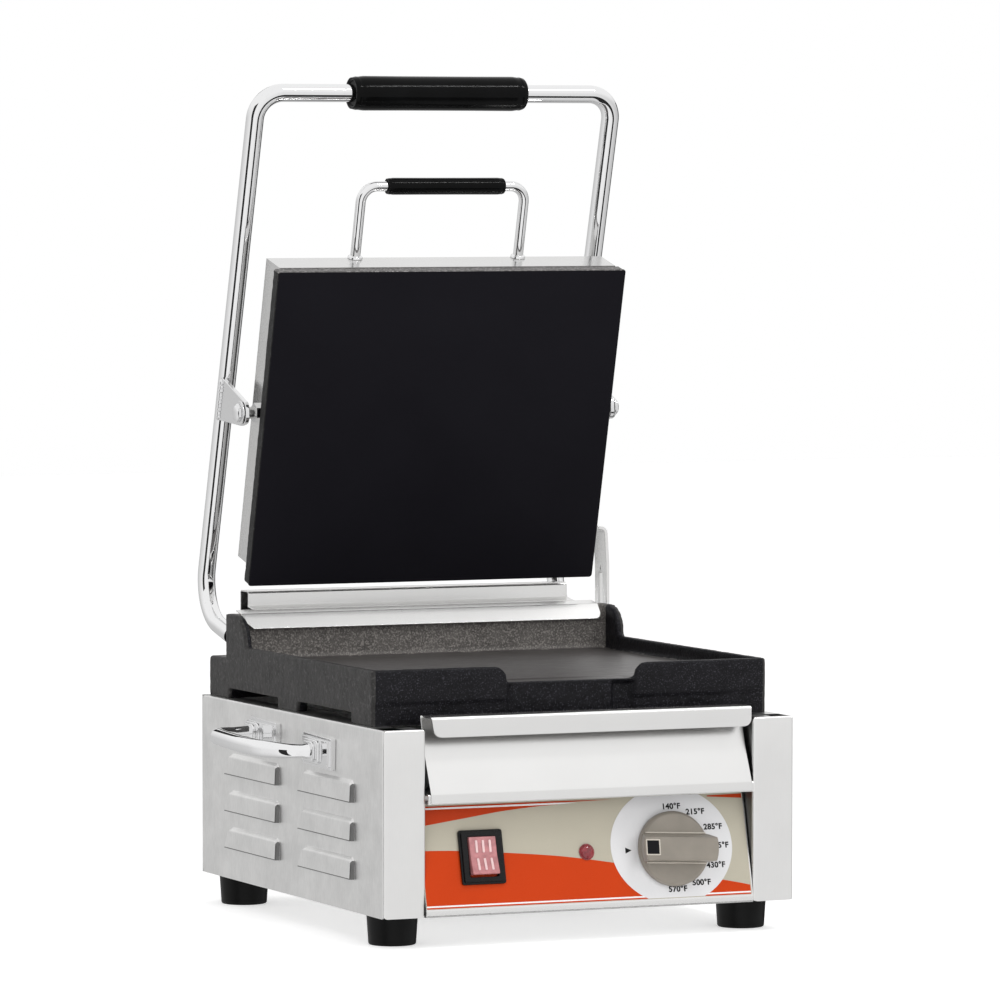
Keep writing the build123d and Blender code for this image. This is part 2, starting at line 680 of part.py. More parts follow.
def serpentine(half_w, y0, y1, runs):
    """The path of a tubular heater: parallel runs along X joined by half-circle turns."""
    step = (y1 - y0) / (runs - 1)
    turn = step / 2
    edges = []
    for index in range(runs):
        y = y0 + index * step
        start, end = (-half_w, half_w) if index % 2 == 0 else (half_w, -half_w)
        edges.append(Line((start, y, 0), (end, y, 0)))
        if index < runs - 1:
            side = 1 if end > 0 else -1
            peak = (end + side * turn, y + turn, 0)
            edges.append(ThreePointArc((end, y, 0), peak, (end, y + step, 0)))
    return Wire(edges)


def lower_element():
    """The tubular heater pressed against the underside of the griddle."""
    path = serpentine(96.0, 70.0, 240.0, 6)
    return Pos(0, 0, HEATER_POCKET_TOP - ELEMENT_R) * tube(path, ELEMENT_R)


def lower_element_clamp():
    """The pressed plate that holds the heater up, with four studs and nuts."""
    top = HEATER_POCKET_TOP - 2 * ELEMENT_R
    plate = span(-118, 118, 52, 258, top - 1.5, top)
    for x in (-40, 40):
        for y in (121, 189):
            stud = rod((x, y, top - 8), (0, 0, 1), 2.4, 8 + 2 * ELEMENT_R)
            nut = Pos(x, y, top - 5.5) * extrude(RegularPolygon(4.6, 6), 4)
            plate = plate + stud + nut
    return plate


def sensor_bulb():
    """The thermostat's sensing bulb, held under the griddle."""
    return rod((-30, 155, HEATER_POCKET_TOP - 3.2), (1, 0, 0), 3.0, 70)


def griddle_bolts():
    """Bolts that hold the griddle down on the housing's side flanges."""
    made = []
    for side in (-1, 1):
        for y in GRIDDLE_BOLT_YS:
            x = side * GRIDDLE_BOLT_X
            shank = rod((x, y, GRIDDLE_BOTTOM - SHEET), (0, 0, 1), GRIDDLE_BOLT_R, 9)
            head = rod((x, y, GRIDDLE_BOTTOM - SHEET - 3), (0, 0, 1), 4.0, 3)
            made.append(shank + head)
    return Compound(made)


# Cap, cover and hinge


def splash_cap():
    """The folded steel cap on the splash wall, with a forward-sloping lip."""
    outline = [
        (CAP_BACK, SPLASH_TOP + 0.1),
        (CAP_LIP_TOP_Y, SPLASH_TOP + 0.1),
        (CAP_LIP_FRONT, CAP_LIP_LOW),
    ]
    cap = along_x(bent_sheet(outline, -1.0), -CAP_HALF_W, CAP_HALF_W)
    corners = cap.edges().filter_by(lambda e: e.center().Z < CAP_LIP_LOW + 0.8 and e.length < 1.2)
    cap = fillet(corners, 5.0)
    tongue = span(-COVER_HALF_W, COVER_HALF_W, CAP_BACK, COVER_FRONT, SPLASH_TOP + 0.1, SPLASH_TOP + 1.1)
    return cap + tongue


def hinge_cover():
    """The open-ended channel that hides the hinge shaft and its springs."""
    outline = [
        (COVER_FRONT, SPLASH_TOP + 1.1),
        (COVER_FRONT, COVER_TOP),
        (COVER_BACK, COVER_TOP),
        (COVER_BACK, COVER_LOW),
    ]
    return along_x(bent_sheet(outline, -1.0), -COVER_HALF_W, COVER_HALF_W)


def hinge_lugs():
    """Two bearing blocks on the casting's rear ledge."""
    lug = span(LUG_X - LUG_T / 2, LUG_X + LUG_T / 2, 286.5, 307.0, LEDGE_TOP, PIVOT_Z + 10.5)
    top = lug.edges().filter_by(Axis.X).filter_by(lambda e: e.center().Z > PIVOT_Z)
    lug = fillet(top, 8.0)
    lug = lug - rod((0, PIVOT_Y, PIVOT_Z), (1, 0, 0), BUSH_R, 200)
    return Compound(both_sides(lug))


def hinge_bushes():
    """A bronze bush in each bearing block."""
    bush = rod((LUG_X - LUG_T / 2 - 0.5, PIVOT_Y, PIVOT_Z), (1, 0, 0), BUSH_R, LUG_T + 1)
    bush = bush - rod((0, PIVOT_Y, PIVOT_Z), (1, 0, 0), HINGE_SHAFT_R + HINGE_FIT, 200)
    return Compound(both_sides(bush))


def hinge_shaft():
    """The shaft between the arms' hubs."""
    end = ARM_X + HUB_W / 2 - 1
    return rod((-end, PIVOT_Y, PIVOT_Z), (1, 0, 0), HINGE_SHAFT_R, 2 * end)


def torsion_springs():
    """Two coil springs round the shaft that hold the arms up, with a tail at each end."""
    height = SPRING_TURNS * SPRING_PITCH
    start = Plane(origin=(SPRING_X - height / 2, PIVOT_Y, PIVOT_Z), x_dir=(0, 1, 0), z_dir=(1, 0, 0))
    path = start * Helix(SPRING_PITCH, height, SPRING_R)
    section = Plane(origin=path @ 0, z_dir=path % 0) * Circle(SPRING_WIRE_R)
    coil = sweep(section, path, is_frenet=True)
    first = path @ 0
    last = path @ 1
    tails = rod(tuple(first), tuple(path % 0 * -1), SPRING_WIRE_R, 9)
    tails = tails + rod(tuple(last), tuple(path % 1), SPRING_WIRE_R, 9)
    return Compound(both_sides(coil + tails))


def guard_strip():
    """The slotted upright strip on the right side's rear corner, with its top bent inwards."""
    outline = [
        (HALF_W + STRIP_T, STRIP_FOOT),
        (HALF_W + STRIP_T, STRIP_TOP),
        (STRIP_IN, STRIP_TOP),
    ]
    face = bent_sheet(outline, STRIP_T)
    strip = extrude(Plane.XZ * face, (STRIP_Y[1] - STRIP_Y[0]) / 2, both=True)
    strip = Pos(0, (STRIP_Y[0] + STRIP_Y[1]) / 2, 0) * strip
    bends = strip.edges().filter_by(Axis.Y).filter_by(lambda e: e.center().Z > STRIP_TOP - 4)
    outer = bends.filter_by(lambda e: e.center().X > HALF_W + STRIP_T - 0.1)
    strip = fillet(outer, 5.0)
    slot = extrude(Plane.YZ * SlotOverall(STRIP_SLOT_L, 5, rotation=90), 20, both=True)
    strip = strip - Pos(HALF_W, sum(STRIP_Y) / 2, STRIP_SLOT_Z) * slot
    return strip - strip_screw_holes()


def strip_screw_holes():
    """The two holes through the strip's foot and the side panel."""
    return [rod((HALF_W - 9, sum(STRIP_Y) / 2, z), (1, 0, 0), STRIP_SCREW_R, 20) for z in STRIP_SCREW_ZS]


def guard_strip_screws():
    """Two screws at the strip's foot."""
    made = []
    for z in STRIP_SCREW_ZS:
        shank = rod((HALF_W - 6, sum(STRIP_Y) / 2, z), (1, 0, 0), STRIP_SCREW_R, 6 + STRIP_T)
        head = rod((HALF_W + STRIP_T, sum(STRIP_Y) / 2, z), (1, 0, 0), 3.8, 2.4)
        made.append(shank + fillet(head.edges().sort_by(Axis.X)[-1], 1.2))
    return Compound(made)


# Handle frame


def handle_frame():
    """The bent tube: two short legs from the hubs, two arms and the top bar."""
    leg_y = PIVOT_Y + 4 * cos(LEAN)
    leg_z = PIVOT_Z + 4 * sin(LEAN)
    points = [
        (-ARM_X, leg_y, leg_z),
        (-ARM_X, ARM_CORNER_Y, ARM_CORNER_Z),
        (-ARM_X, BAR_Y, BAR_Z),
        (ARM_X, BAR_Y, BAR_Z),
        (ARM_X, ARM_CORNER_Y, ARM_CORNER_Z),
        (ARM_X, leg_y, leg_z),
    ]
    path = FilletPolyline(*points, radius=(LEG_BEND, TOP_BEND, TOP_BEND, LEG_BEND))
    frame = tube(path, TUBE_R, TUBE_BORE_R)
    return frame - rod((-200, PIVOT_Y, PIVOT_Z), (1, 0, 0), HUB_R, 400)


def hinge_hubs():
    """The hubs at the ends of the legs, pressed on the shaft."""
    hub = rod((ARM_X - HUB_W / 2, PIVOT_Y, PIVOT_Z), (1, 0, 0), HUB_R, HUB_W)
    hub = hub - rod((0, PIVOT_Y, PIVOT_Z), (1, 0, 0), HINGE_SHAFT_R, 200)
    return Compound(both_sides(hub))


def main_grip():
    """The grip sleeve on the top bar."""
    grip = rod((-GRIP_HALF_W, BAR_Y, BAR_Z), (1, 0, 0), GRIP_R, 2 * GRIP_HALF_W)
    grip = fillet(grip.edges(), GRIP_ROUND)
    return grip - rod((-200, BAR_Y, BAR_Z), (1, 0, 0), TUBE_R, 400)


def pivot_point():
    """Y and Z of the lid's pivot bolts."""
    point = LID.from_local_coords(Vector(0, LID_PIVOT_S, -LID_PIVOT_D))
    return point.Y, point.Z


def pivot_brackets():
    """A flat triangular ear welded to each arm, drilled for the lid's pivot bolt."""
    y, z = pivot_point()
    along = (z + 9 - ARM_CORNER_Z) / cos(LEAN)
    arm_y = ARM_CORNER_Y - along * sin(LEAN)
    arm_z = z + 9
    up = (-15.5 * sin(LEAN), 15.5 * cos(LEAN))
    nose = Pos(y, z) * Circle(9.0)
    base = make_face(
        Polyline(
            (arm_y + up[0], arm_z + up[1]),
            (arm_y - up[0], arm_z - up[1]),
            (y + 4, z - 8.0),
            (y - 2, z + 8.8),
            close=True,
        )
    )
    ear = along_x(nose + base, BRACKET_IN, BRACKET_IN + BRACKET_T)
    ear = ear - rod((0, y, z), (1, 0, 0), PIVOT_BOLT_R + PIVOT_BOLT_FIT, 200)
    axis = (0, -sin(LEAN), cos(LEAN))
    ear = ear - rod((ARM_X, ARM_CORNER_Y, ARM_CORNER_Z), axis, TUBE_R, ARM_LENGTH)
    return Compound(both_sides(ear))


# Lid


def upper_plate():
    """The lid's cast plate, with a boss at each side for the pivot bolt."""
    plate = Pos(0, LID_L / 2, -LID_PLATE_T) * extrude(RectangleRounded(2 * LID_HALF_W, LID_L, 1.5), LID_PLATE_T)
    for side in (-1, 1):
        x = side * (LID_HALF_W - LID_COVER_INSET - LID_SHEET - 0.3 - BOSS_W / 2)
        boss = Pos(x, LID_PIVOT_S, -LID_PIVOT_D) * Box(BOSS_W, 26, 2 * (LID_PIVOT_D - LID_PLATE_T))
        boss = boss - Pos(x, LID_PIVOT_S, -LID_PIVOT_D) * Rot(0, 90, 0) * Cylinder(PIVOT_BOLT_R, 40)
        plate = plate + boss
    for x, s in cover_screw_places():
        plate = plate + Pos(x, s, LID_SHEET - LID_T) * extrude(Circle(5.0), LID_T - LID_PLATE_T - LID_SHEET)
        plate = plate - Pos(x, s, -LID_T) * extrude(Circle(COVER_SCREW_R), 16)
    return LID * plate


def cover_screw_places():
    return [(x, s) for x in (-107, 107) for s in (26, 205)]


def upper_cover():
    """The folded steel cover over the lid's heater, open towards the plate."""
    half = LID_HALF_W - LID_COVER_INSET
    length = LID_L - LID_COVER_START
    depth = LID_T - LID_PLATE_T
    middle = (LID_L + LID_COVER_START) / 2
    shell = Pos(0, middle, -LID_T) * extrude(Rectangle(2 * half, length), depth)
    shell = fillet(shell.edges().filter_by(lambda e: e.center().Z < 0.5 - LID_T), 2.0)
    hollow = Rectangle(2 * (half - LID_SHEET), length - 2 * LID_SHEET)
    shell = shell - Pos(0, middle, LID_SHEET - LID_T) * extrude(hollow, depth)
    shell = shell - Pos(0, LID_PIVOT_S, -LID_PIVOT_D) * Rot(0, 90, 0) * Cylinder(PIVOT_BOLT_R + 0.3, 400)
    for x, s in cover_screw_places():
        shell = shell - Pos(x, s, -LID_T) * extrude(Circle(COVER_SCREW_R), 4)
    return LID * shell


def upper_element():
    """The tubular heater on the back of the lid's plate."""
    path = serpentine(78.0, 34.0, 190.0, 6)
    return LID * Pos(0, 0, -LID_PLATE_T - ELEMENT_R) * tube(path, ELEMENT_R)


def upper_element_clamp():
    """The pressed plate that holds the lid's heater, with four studs and nuts."""
    face = -LID_PLATE_T - 2 * ELEMENT_R
    plate = Pos(0, 112, face - 0.75) * Box(190, 184, 1.5)
    for x in (-34, 34):
        for s in (80, 144):
            plate = plate + Pos(x, s, face - 8) * extrude(Circle(2.4), 8 + 2 * ELEMENT_R)
            plate = plate + Pos(x, s, face - 5.5) * extrude(RegularPolygon(4.6, 6), 4)
    return LID * plate


def lid_handle():
    """The small bail at the lid's front end."""
    foot = LID_L
    bar = LID_L + LID_HANDLE_RISE
    points = [
        (-LID_HANDLE_X, foot, -LID_HANDLE_D),
        (-LID_HANDLE_X, bar, -LID_HANDLE_D),
        (LID_HANDLE_X, bar, -LID_HANDLE_D),
        (LID_HANDLE_X, foot, -LID_HANDLE_D),
    ]
    return LID * tube(FilletPolyline(*points, radius=LID_HANDLE_BEND), LID_HANDLE_R)


def lid_grip():
    """The grip sleeve on the bail."""
    grip = fillet(Cylinder(LID_GRIP_R, 2 * LID_GRIP_HALF_W).edges(), 1.6)
    grip = grip - Cylinder(LID_HANDLE_R, 200)
    return LID * Pos(0, LID_L + LID_HANDLE_RISE, -LID_HANDLE_D) * Rot(0, 90, 0) * grip


def pivot_bolts():
    """The bolts that the lid tilts on, each with a shoulder, a washer and a domed head."""
    y, z = pivot_point()
    inner = LID_HALF_W - LID_COVER_INSET - LID_SHEET - BOSS_W
    outer = BRACKET_IN + BRACKET_T
    shank = rod((inner + 2, y, z), (1, 0, 0), PIVOT_BOLT_R, outer + 1 - inner - 2)
    washer = rod((outer + 0.4, y, z), (1, 0, 0), 8.0, 1.2)
    head = Plane(origin=(outer + 1.6, y, z), z_dir=(1, 0, 0)) * extrude(RegularPolygon(6.4, 6), 3.4)
    return Compound(both_sides(shank + washer + head))


def pivot_nuts():
    """A lock nut on each bolt between the lid and the ear."""
    y, z = pivot_point()
    start = LID_HALF_W - LID_COVER_INSET
    nut = Plane(origin=(start, y, z), z_dir=(1, 0, 0)) * extrude(RegularPolygon(6.6, 6), 4.0)
    nut = nut - rod((0, y, z), (1, 0, 0), PIVOT_BOLT_R, 200)
    return Compound(both_sides(nut))


def cover_screws():
    """Four screws through the cover's back into the plate's pillars."""
    made = []
    for x, s in cover_screw_places():
        head = Pos(x, s, -LID_T - 2.0) * extrude(Circle(3.4), 2.0)
        shank = Pos(x, s, -LID_T) * extrude(Circle(COVER_SCREW_R), 14)
        made.append(LID * (head + shank))
    return Compound(made)


def lid_gland():
    """The cable gland on the cover's back."""
    body = Pos(60, 40, -LID_T - 9) * (extrude(RegularPolygon(9, 6), 9) - extrude(Circle(4), 12))
    return LID * body


def cable_gland():
    """The mains lead's gland on the rear panel."""
    y = HOUSING_D
    nut = Plane(origin=(GLAND_X, y, GLAND_Z), z_dir=(0, 1, 0)) * extrude(RegularPolygon(11, 6), 6)
    neck = rod((GLAND_X, y - GLAND_NECK, GLAND_Z), (0, 1, 0), GLAND_NECK, GLAND_NECK)
    cap = rod((GLAND_X, y + 6, GLAND_Z), (0, 1, 0), 8.5, GLAND_LENGTH - GLAND_NECK - 6)
    cap = fillet(cap.edges().sort_by(Axis.Y)[-1], 3.0)
    return nut + neck + cap - rod((GLAND_X, y - 12, GLAND_Z), (0, 1, 0), GLAND_BORE_R, 40)


def terminal_block():
    """The screw terminals on the bottom pan."""
    base = FOOT_H + SHEET
    block = span(-92, -42, 250, 268, base, base + 16)
    for index in range(4):
        block = block - rod((-86 + index * 12.5, 259, base + 8), (0, 0, 1), 3.2, 12)
    return block


def main():
    os.makedirs("parts", exist_ok=True)
    panel = side_panel()
    save("side_panel_right", panel - strip_screw_holes())
    save("side_panel_left", mirror(panel, about=Plane.YZ))
    save("rear_panel", rear_panel())
    save("rear_panel_screws", rear_panel_screws())
    save("bottom_pan", bottom_pan())
    save("feet", feet())
    save("foot_screws", foot_screws())
    bases = side_handle_bases()
    save("side_handle_plates_right", Compound(bases))
    save("side_handle_plates_left", Compound([mirror(base, about=Plane.YZ) for base in bases]))
    bar = side_handle_bar()
    save("side_handle_right", bar)
    save("side_handle_left", mirror(bar, about=Plane.YZ))
    screws = side_handle_screws()
    save("side_handle_screws", Compound(screws + [mirror(screw, about=Plane.YZ) for screw in screws]))
    save("control_panel", control_panel())
    save("panel_overlay", panel_overlay())
    save("switch_housing", switch_housing())
    save("switch_rocker", switch_rocker())
    save("pilot_lamp_lens", pilot_lamp_lens())
    save("pilot_lamp_body", pilot_lamp_body())
    save("thermostat_body", thermostat_body())
    save("thermostat_shaft", thermostat_shaft())
    save("control_knob", control_knob())
    save("knob_pointer", knob_pointer())
    save("front_rail", front_rail())
    save("tray_rails", tray_rails())
    save("grease_tray", grease_tray())
    save("lower_griddle", lower_griddle())
    save("lower_element", lower_element())
    save("lower_element_clamp", lower_element_clamp())
    save("sensor_bulb", sensor_bulb())
    save("griddle_bolts", griddle_bolts())
    save("splash_cap", splash_cap())
    save("hinge_cover", hinge_cover())
    save("hinge_lugs", hinge_lugs())
    save("hinge_bushes", hinge_bushes())
    save("hinge_shaft", hinge_shaft())
    save("torsion_springs", torsion_springs())
    save("guard_strip", guard_strip())
    save("guard_strip_screws", guard_strip_screws())
    save("handle_frame", handle_frame())
    save("hinge_hubs", hinge_hubs())
    save("main_grip", main_grip())
    save("pivot_brackets", pivot_brackets())
    save("upper_plate", upper_plate())
    save("upper_cover", upper_cover())
    save("upper_element", upper_element())
    save("upper_element_clamp", upper_element_clamp())
    save("lid_handle", lid_handle())
    save("lid_grip", lid_grip())
    save("pivot_bolts", pivot_bolts())
    save("pivot_nuts", pivot_nuts())
    save("cover_screws", cover_screws())
    save("lid_gland", lid_gland())
    save("cable_gland", cable_gland())
    save("terminal_block", terminal_block())


main()
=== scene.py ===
import json
from math import asin, ceil, cos, hypot, pi, radians, sin, tan

import bmesh
import bpy
from mathutils import Matrix, Vector, noise


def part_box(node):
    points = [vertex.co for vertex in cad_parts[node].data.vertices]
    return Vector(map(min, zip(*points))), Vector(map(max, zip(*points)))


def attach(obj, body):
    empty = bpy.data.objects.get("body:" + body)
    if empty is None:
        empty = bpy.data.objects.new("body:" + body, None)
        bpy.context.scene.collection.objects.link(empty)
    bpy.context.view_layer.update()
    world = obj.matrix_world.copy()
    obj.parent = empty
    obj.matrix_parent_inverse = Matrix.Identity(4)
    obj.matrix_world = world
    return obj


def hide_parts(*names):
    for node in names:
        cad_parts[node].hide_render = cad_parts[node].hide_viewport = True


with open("model.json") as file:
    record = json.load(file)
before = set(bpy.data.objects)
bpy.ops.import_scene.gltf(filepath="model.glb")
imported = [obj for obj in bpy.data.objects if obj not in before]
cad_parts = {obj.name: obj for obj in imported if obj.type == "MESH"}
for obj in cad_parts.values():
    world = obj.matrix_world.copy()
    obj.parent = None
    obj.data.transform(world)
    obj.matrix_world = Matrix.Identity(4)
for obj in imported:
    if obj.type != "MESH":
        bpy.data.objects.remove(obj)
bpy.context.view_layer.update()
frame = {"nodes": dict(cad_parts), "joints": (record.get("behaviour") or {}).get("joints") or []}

# Panini press, shown open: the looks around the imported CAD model.
# Metres, in the model's own frame. Places are worked out from the CAD boxes and joints.

JOINTS = {joint["name"]: joint for joint in frame["joints"]}
HINGE = Vector(JOINTS["arm_hinge"]["pos_m"])
LID_PIVOT = Vector(JOINTS["lid_tilt"]["pos_m"])
KNOB_PIVOT = Vector(JOINTS["knob_turn"]["pos_m"])
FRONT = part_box("side_panel_right")[0].y
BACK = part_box("rear_panel")[1].y
HALF_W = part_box("rear_panel")[1].x
SKIN_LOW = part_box("rear_panel")[0].z
SKIN_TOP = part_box("rear_panel")[1].z
SHEET = 0.0012
FOLD_EDGE = 0.0003

# Side panels
POST_W = 0.0292
POST_RETURN = 0.018
POST_BEND = 0.0014
POST_CORNER = 0.003
TOP_BEND = 0.0014
TOP_FLANGE = 0.014
LOUVRE_COLUMNS = ((0.0475, 0.1385), (0.176, 0.269))
LOUVRE_BOTTOMS = (0.0409, 0.0656, 0.0903)
LOUVRE_H = 0.015
LOUVRE_OUT = 0.0031
LOUVRE_CORNER = 0.006
LOUVRE_END = 0.0011
LOUVRE_ROLL = 0.0034
LOUVRE_SLANT = 0.007

# Carrying handles on the side panels
PLATE_YS = (0.1022, 0.197)
LEG_YS = (0.105, 0.2085)
SIDE_HANDLE_Z = 0.119
SIDE_HANDLE_TILT = radians(1.8)
SIDE_HANDLE_REACH = 0.0365

# Sloping control panel
PANEL_NORMAL = -Vector(JOINTS["knob_turn"]["axis"]).normalized()
PANEL_UP = PANEL_NORMAL.cross(Vector((1, 0, 0))).normalized()
KNOB_V = -0.0019
PANEL_MID = KNOB_PIVOT - Vector((KNOB_PIVOT.x, 0, 0)) - PANEL_UP * KNOB_V
OVERLAY_T = 0.0004
OVERLAY_HALF_W = 0.1134
OVERLAY_LEFT = -0.1158
OVERLAY_HALF_H = 0.0336

# Lid
LID_LEAN = radians(14.7)
LID_OUT = Vector((0, -cos(LID_LEAN), -sin(LID_LEAN)))
LID_UP = Vector((0, -sin(LID_LEAN), cos(LID_LEAN)))
LID_ORIGIN = LID_PIVOT - LID_UP * 0.116 + LID_OUT * 0.020
LID_ORIGIN.x = 0
LID_HALF_W = 0.127
LID_L = 0.2194
LID_PLATE_T = 0.009

# Handle frame
ARM_X = 0.130
TUBE_R = 0.006
ARM_LEAN = radians(16.4)
LEG_LENGTH = 0.0589
ARM_LENGTH = 0.3666
ARM_UP = Vector((0, -sin(ARM_LEAN), cos(ARM_LEAN)))
LEG_OUT = Vector((0, cos(ARM_LEAN), sin(ARM_LEAN)))


def at(x, y, z):
    """A point given from the housing's middle, its front face and the standing surface."""
    return Vector((x, FRONT + y, z))


def frame_of(origin, x_axis, y_axis, z_axis):
    """The matrix that carries local coordinates to a place in the model."""
    matrix = Matrix((x_axis, y_axis, z_axis)).transposed().to_4x4()
    matrix.translation = origin
    return matrix


PANEL = frame_of(PANEL_MID, Vector((1, 0, 0)), PANEL_UP, PANEL_NORMAL)
LID = frame_of(LID_ORIGIN, Vector((1, 0, 0)), LID_UP, LID_OUT)
LEAN_X = Matrix.Rotation(pi / 2, 4, "Y")
ACROSS = frame_of(at(0, 0, 0), Vector((0, 1, 0)), Vector((0, 0, 1)), Vector((1, 0, 0)))


# Building tools


def smooth_step(share):
    """Eases a share between 0 and 1 at both ends."""
    share = max(0.0, min(1.0, share))
    return share * share * (3 - 2 * share)


def placed(name, data):
    """A new object in the scene that shows a mesh, light or camera."""
    piece = bpy.data.objects.new(name, data)
    bpy.context.scene.collection.objects.link(piece)
    return piece


def build(name, points, faces, material, sharp=35.0):
    """A mesh object with smooth shading broken at sharp edges."""
    mesh = bpy.data.meshes.new(name)
    mesh.from_pydata([tuple(p) for p in points], [], faces)
    mesh.validate()
    mesh.materials.append(material)
    tidy_normals(mesh, sharp)
    return placed(name, mesh)


def tidy_normals(mesh, sharp):
    """Points the faces outward and shades them smooth, except across sharp edges."""
    shape = bmesh.new()
    shape.from_mesh(mesh)
    bmesh.ops.recalc_face_normals(shape, faces=shape.faces)
    shape.to_mesh(mesh)
    shape.free()
    mesh.shade_smooth()
    mesh.set_sharp_from_angle(angle=radians(sharp))


def soften(piece, width, segments=3, angle=32.0):
    """Rounds a piece's sharp edges."""
    bevel = piece.modifiers.new("edges", "BEVEL")
    bevel.width = width
    bevel.segments = segments
    bevel.limit_method = "ANGLE"
    bevel.angle_limit = radians(angle)
    bevel.harden_normals = True
    return piece


def settle(piece, body, slot, *nodes):
    """The piece rides on a body and stands for the given nodes. slot is not used."""
    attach(piece, body)
    if nodes:
        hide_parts(*nodes)
    return piece


def rounded_path(corners, radii, step=radians(7)):
    """Points along straight runs joined by arcs. The first and last corners are the ends."""
    corners = [Vector(c) for c in corners]
    points = [corners[0]]
    for before, corner, after, radius in zip(corners, corners[1:], corners[2:], radii):
        into = (corner - before).normalized()
        out = (after - corner).normalized()
        turn = into.angle(out)
        if radius <= 0 or turn < 1e-4:
            points.append(corner)
            continue
        reach = radius * tan(turn / 2)
        start = corner - into * reach
        side = (out - into * into.dot(out)).normalized()
        centre = start + side * radius
        count = max(2, ceil(turn / step))
        for index in range(count + 1):
            angle = turn * index / count
            points.append(centre - side * radius * cos(angle) + into * radius * sin(angle))
    points.append(corners[-1])
    return points


def ring_faces(rings, sides, closed=False):
    """Quads between rings of points."""
    faces = []
    pairs = rings if closed else rings - 1
    for ring in range(pairs):
        low = ring * sides
        high = (ring + 1) % rings * sides
        for index in range(sides):
            after = (index + 1) % sides
            faces.append((low + index, low + after, high + after, high + index))
    return faces


def capped_faces(rings, sides):
    """Quads between rings of points, with a flat face on the first and the last ring."""
    last = (rings - 1) * sides
    caps = [tuple(reversed(range(sides))), tuple(range(last, last + sides))]
    return ring_faces(rings, sides) + caps


def grid_faces(columns, rows):
    """Quads over points laid out column by column."""
    starts = [column * rows + row for column in range(columns - 1) for row in range(rows - 1)]
    return [(a, a + 1, a + rows + 1, a + rows) for a in starts]


def swept(name, path, radius, material, sides=36):
    """A round bar along a path. radius is a number or a function of the share of the way along."""
    tangents = []
    for index in range(len(path)):
        before = path[max(index - 1, 0)]
        after = path[min(index + 1, len(path) - 1)]
        tangents.append((after - before).normalized())
    first = tangents[0]
    across = Vector((0, 0, 1)) if abs(first.z) < 0.9 else Vector((1, 0, 0))
    across = (across - first * first.dot(across)).normalized()
    lengths = [0.0]
    for before, after in zip(path, path[1:]):
        lengths.append(lengths[-1] + (after - before).length)
    points = []
    for index, centre in enumerate(path):
        if index:
            across = tangents[index - 1].rotation_difference(tangents[index]) @ across
        other = tangents[index].cross(across)
        size = radius(lengths[index] / lengths[-1]) if callable(radius) else radius
        for side in range(sides):
            angle = 2 * pi * side / sides
            points.append(centre + across * size * cos(angle) + other * size * sin(angle))
    return build(name, points, capped_faces(len(path), sides), material)


def lathe(name, profile, matrix, material, sides=72, sharp=35.0):
    """A turned piece: the profile is (radius, height) pairs about the local Z axis."""
    points = []
    faces = []
    rows = []
    for radius, height in profile:
        if radius < 1e-6:
            rows.append([len(points)])
            points.append(matrix @ Vector((0, 0, height)))
            continue
        rows.append(list(range(len(points), len(points) + sides)))
        for side in range(sides):
            angle = 2 * pi * side / sides
            points.append(matrix @ Vector((radius * cos(angle), radius * sin(angle), height)))
    for low, high in zip(rows, rows[1:]):
        for side in range(sides):
            after = (side + 1) % sides
            corners = [low[side % len(low)], low[after % len(low)]]
            corners += [high[after % len(high)], high[side % len(high)]]
            faces.append(tuple(dict.fromkeys(corners)))
    return build(name, points, faces, material, sharp)


def rounded_profile(corners, radii):
    """A lathe profile with rounded corners."""
    path = rounded_path([(r, h, 0) for r, h in corners], radii, radians(15))
    return [(p.x, p.y) for p in path]


def prism(name, outline, low, high, matrix, material, sharp=35.0):
    """A flat outline of (x, y) points drawn out between two local heights."""
    points = [matrix @ Vector((x, y, height)) for height in (low, high) for x, y in outline]
    return build(name, points, capped_faces(2, len(outline)), material, sharp)


def rounded_outline(corners, radii, step=radians(15)):
    """A closed outline with rounded corners, from its corner points."""
    flat = [Vector((x, y, 0)) for x, y in corners]
    start = (flat[-1] + flat[0]) / 2
    path = rounded_path([start, *flat, start], radii, step)
    return [(p.x, p.y) for p in path[1:]]


def block_outline(half_x, half_y, radius, centre=(0, 0)):
    """A rectangle with rounded corners, from its half sizes and its centre."""
    x, y = centre
    signs = ((-1, -1), (1, -1), (1, 1), (-1, 1))
    return rounded_outline([(x + sx * half_x, y + sy * half_y) for sx, sy in signs], [radius] * 4)


def joined(name, pieces):
    """One object from several, keeping their material slots."""
    bpy.ops.object.select_all(action="DESELECT")
    for piece in pieces:
        for modifier in list(piece.modifiers):
            bpy.context.view_layer.objects.active = piece
            bpy.ops.object.modifier_apply(modifier=modifier.name)
    for piece in pieces:
        piece.select_set(True)
    bpy.context.view_layer.objects.active = pieces[0]
    bpy.ops.object.join()
    whole = bpy.context.view_layer.objects.active
    whole.name = name
    whole.data.name = name
    return whole


def thick(piece, thickness, offset, edge):
    """Gives an open sheet its thickness, then eases its edges."""
    solid = piece.modifiers.new("thickness", "SOLIDIFY")
    solid.thickness = thickness
    solid.offset = offset
    return soften(piece, edge, 2, 50)


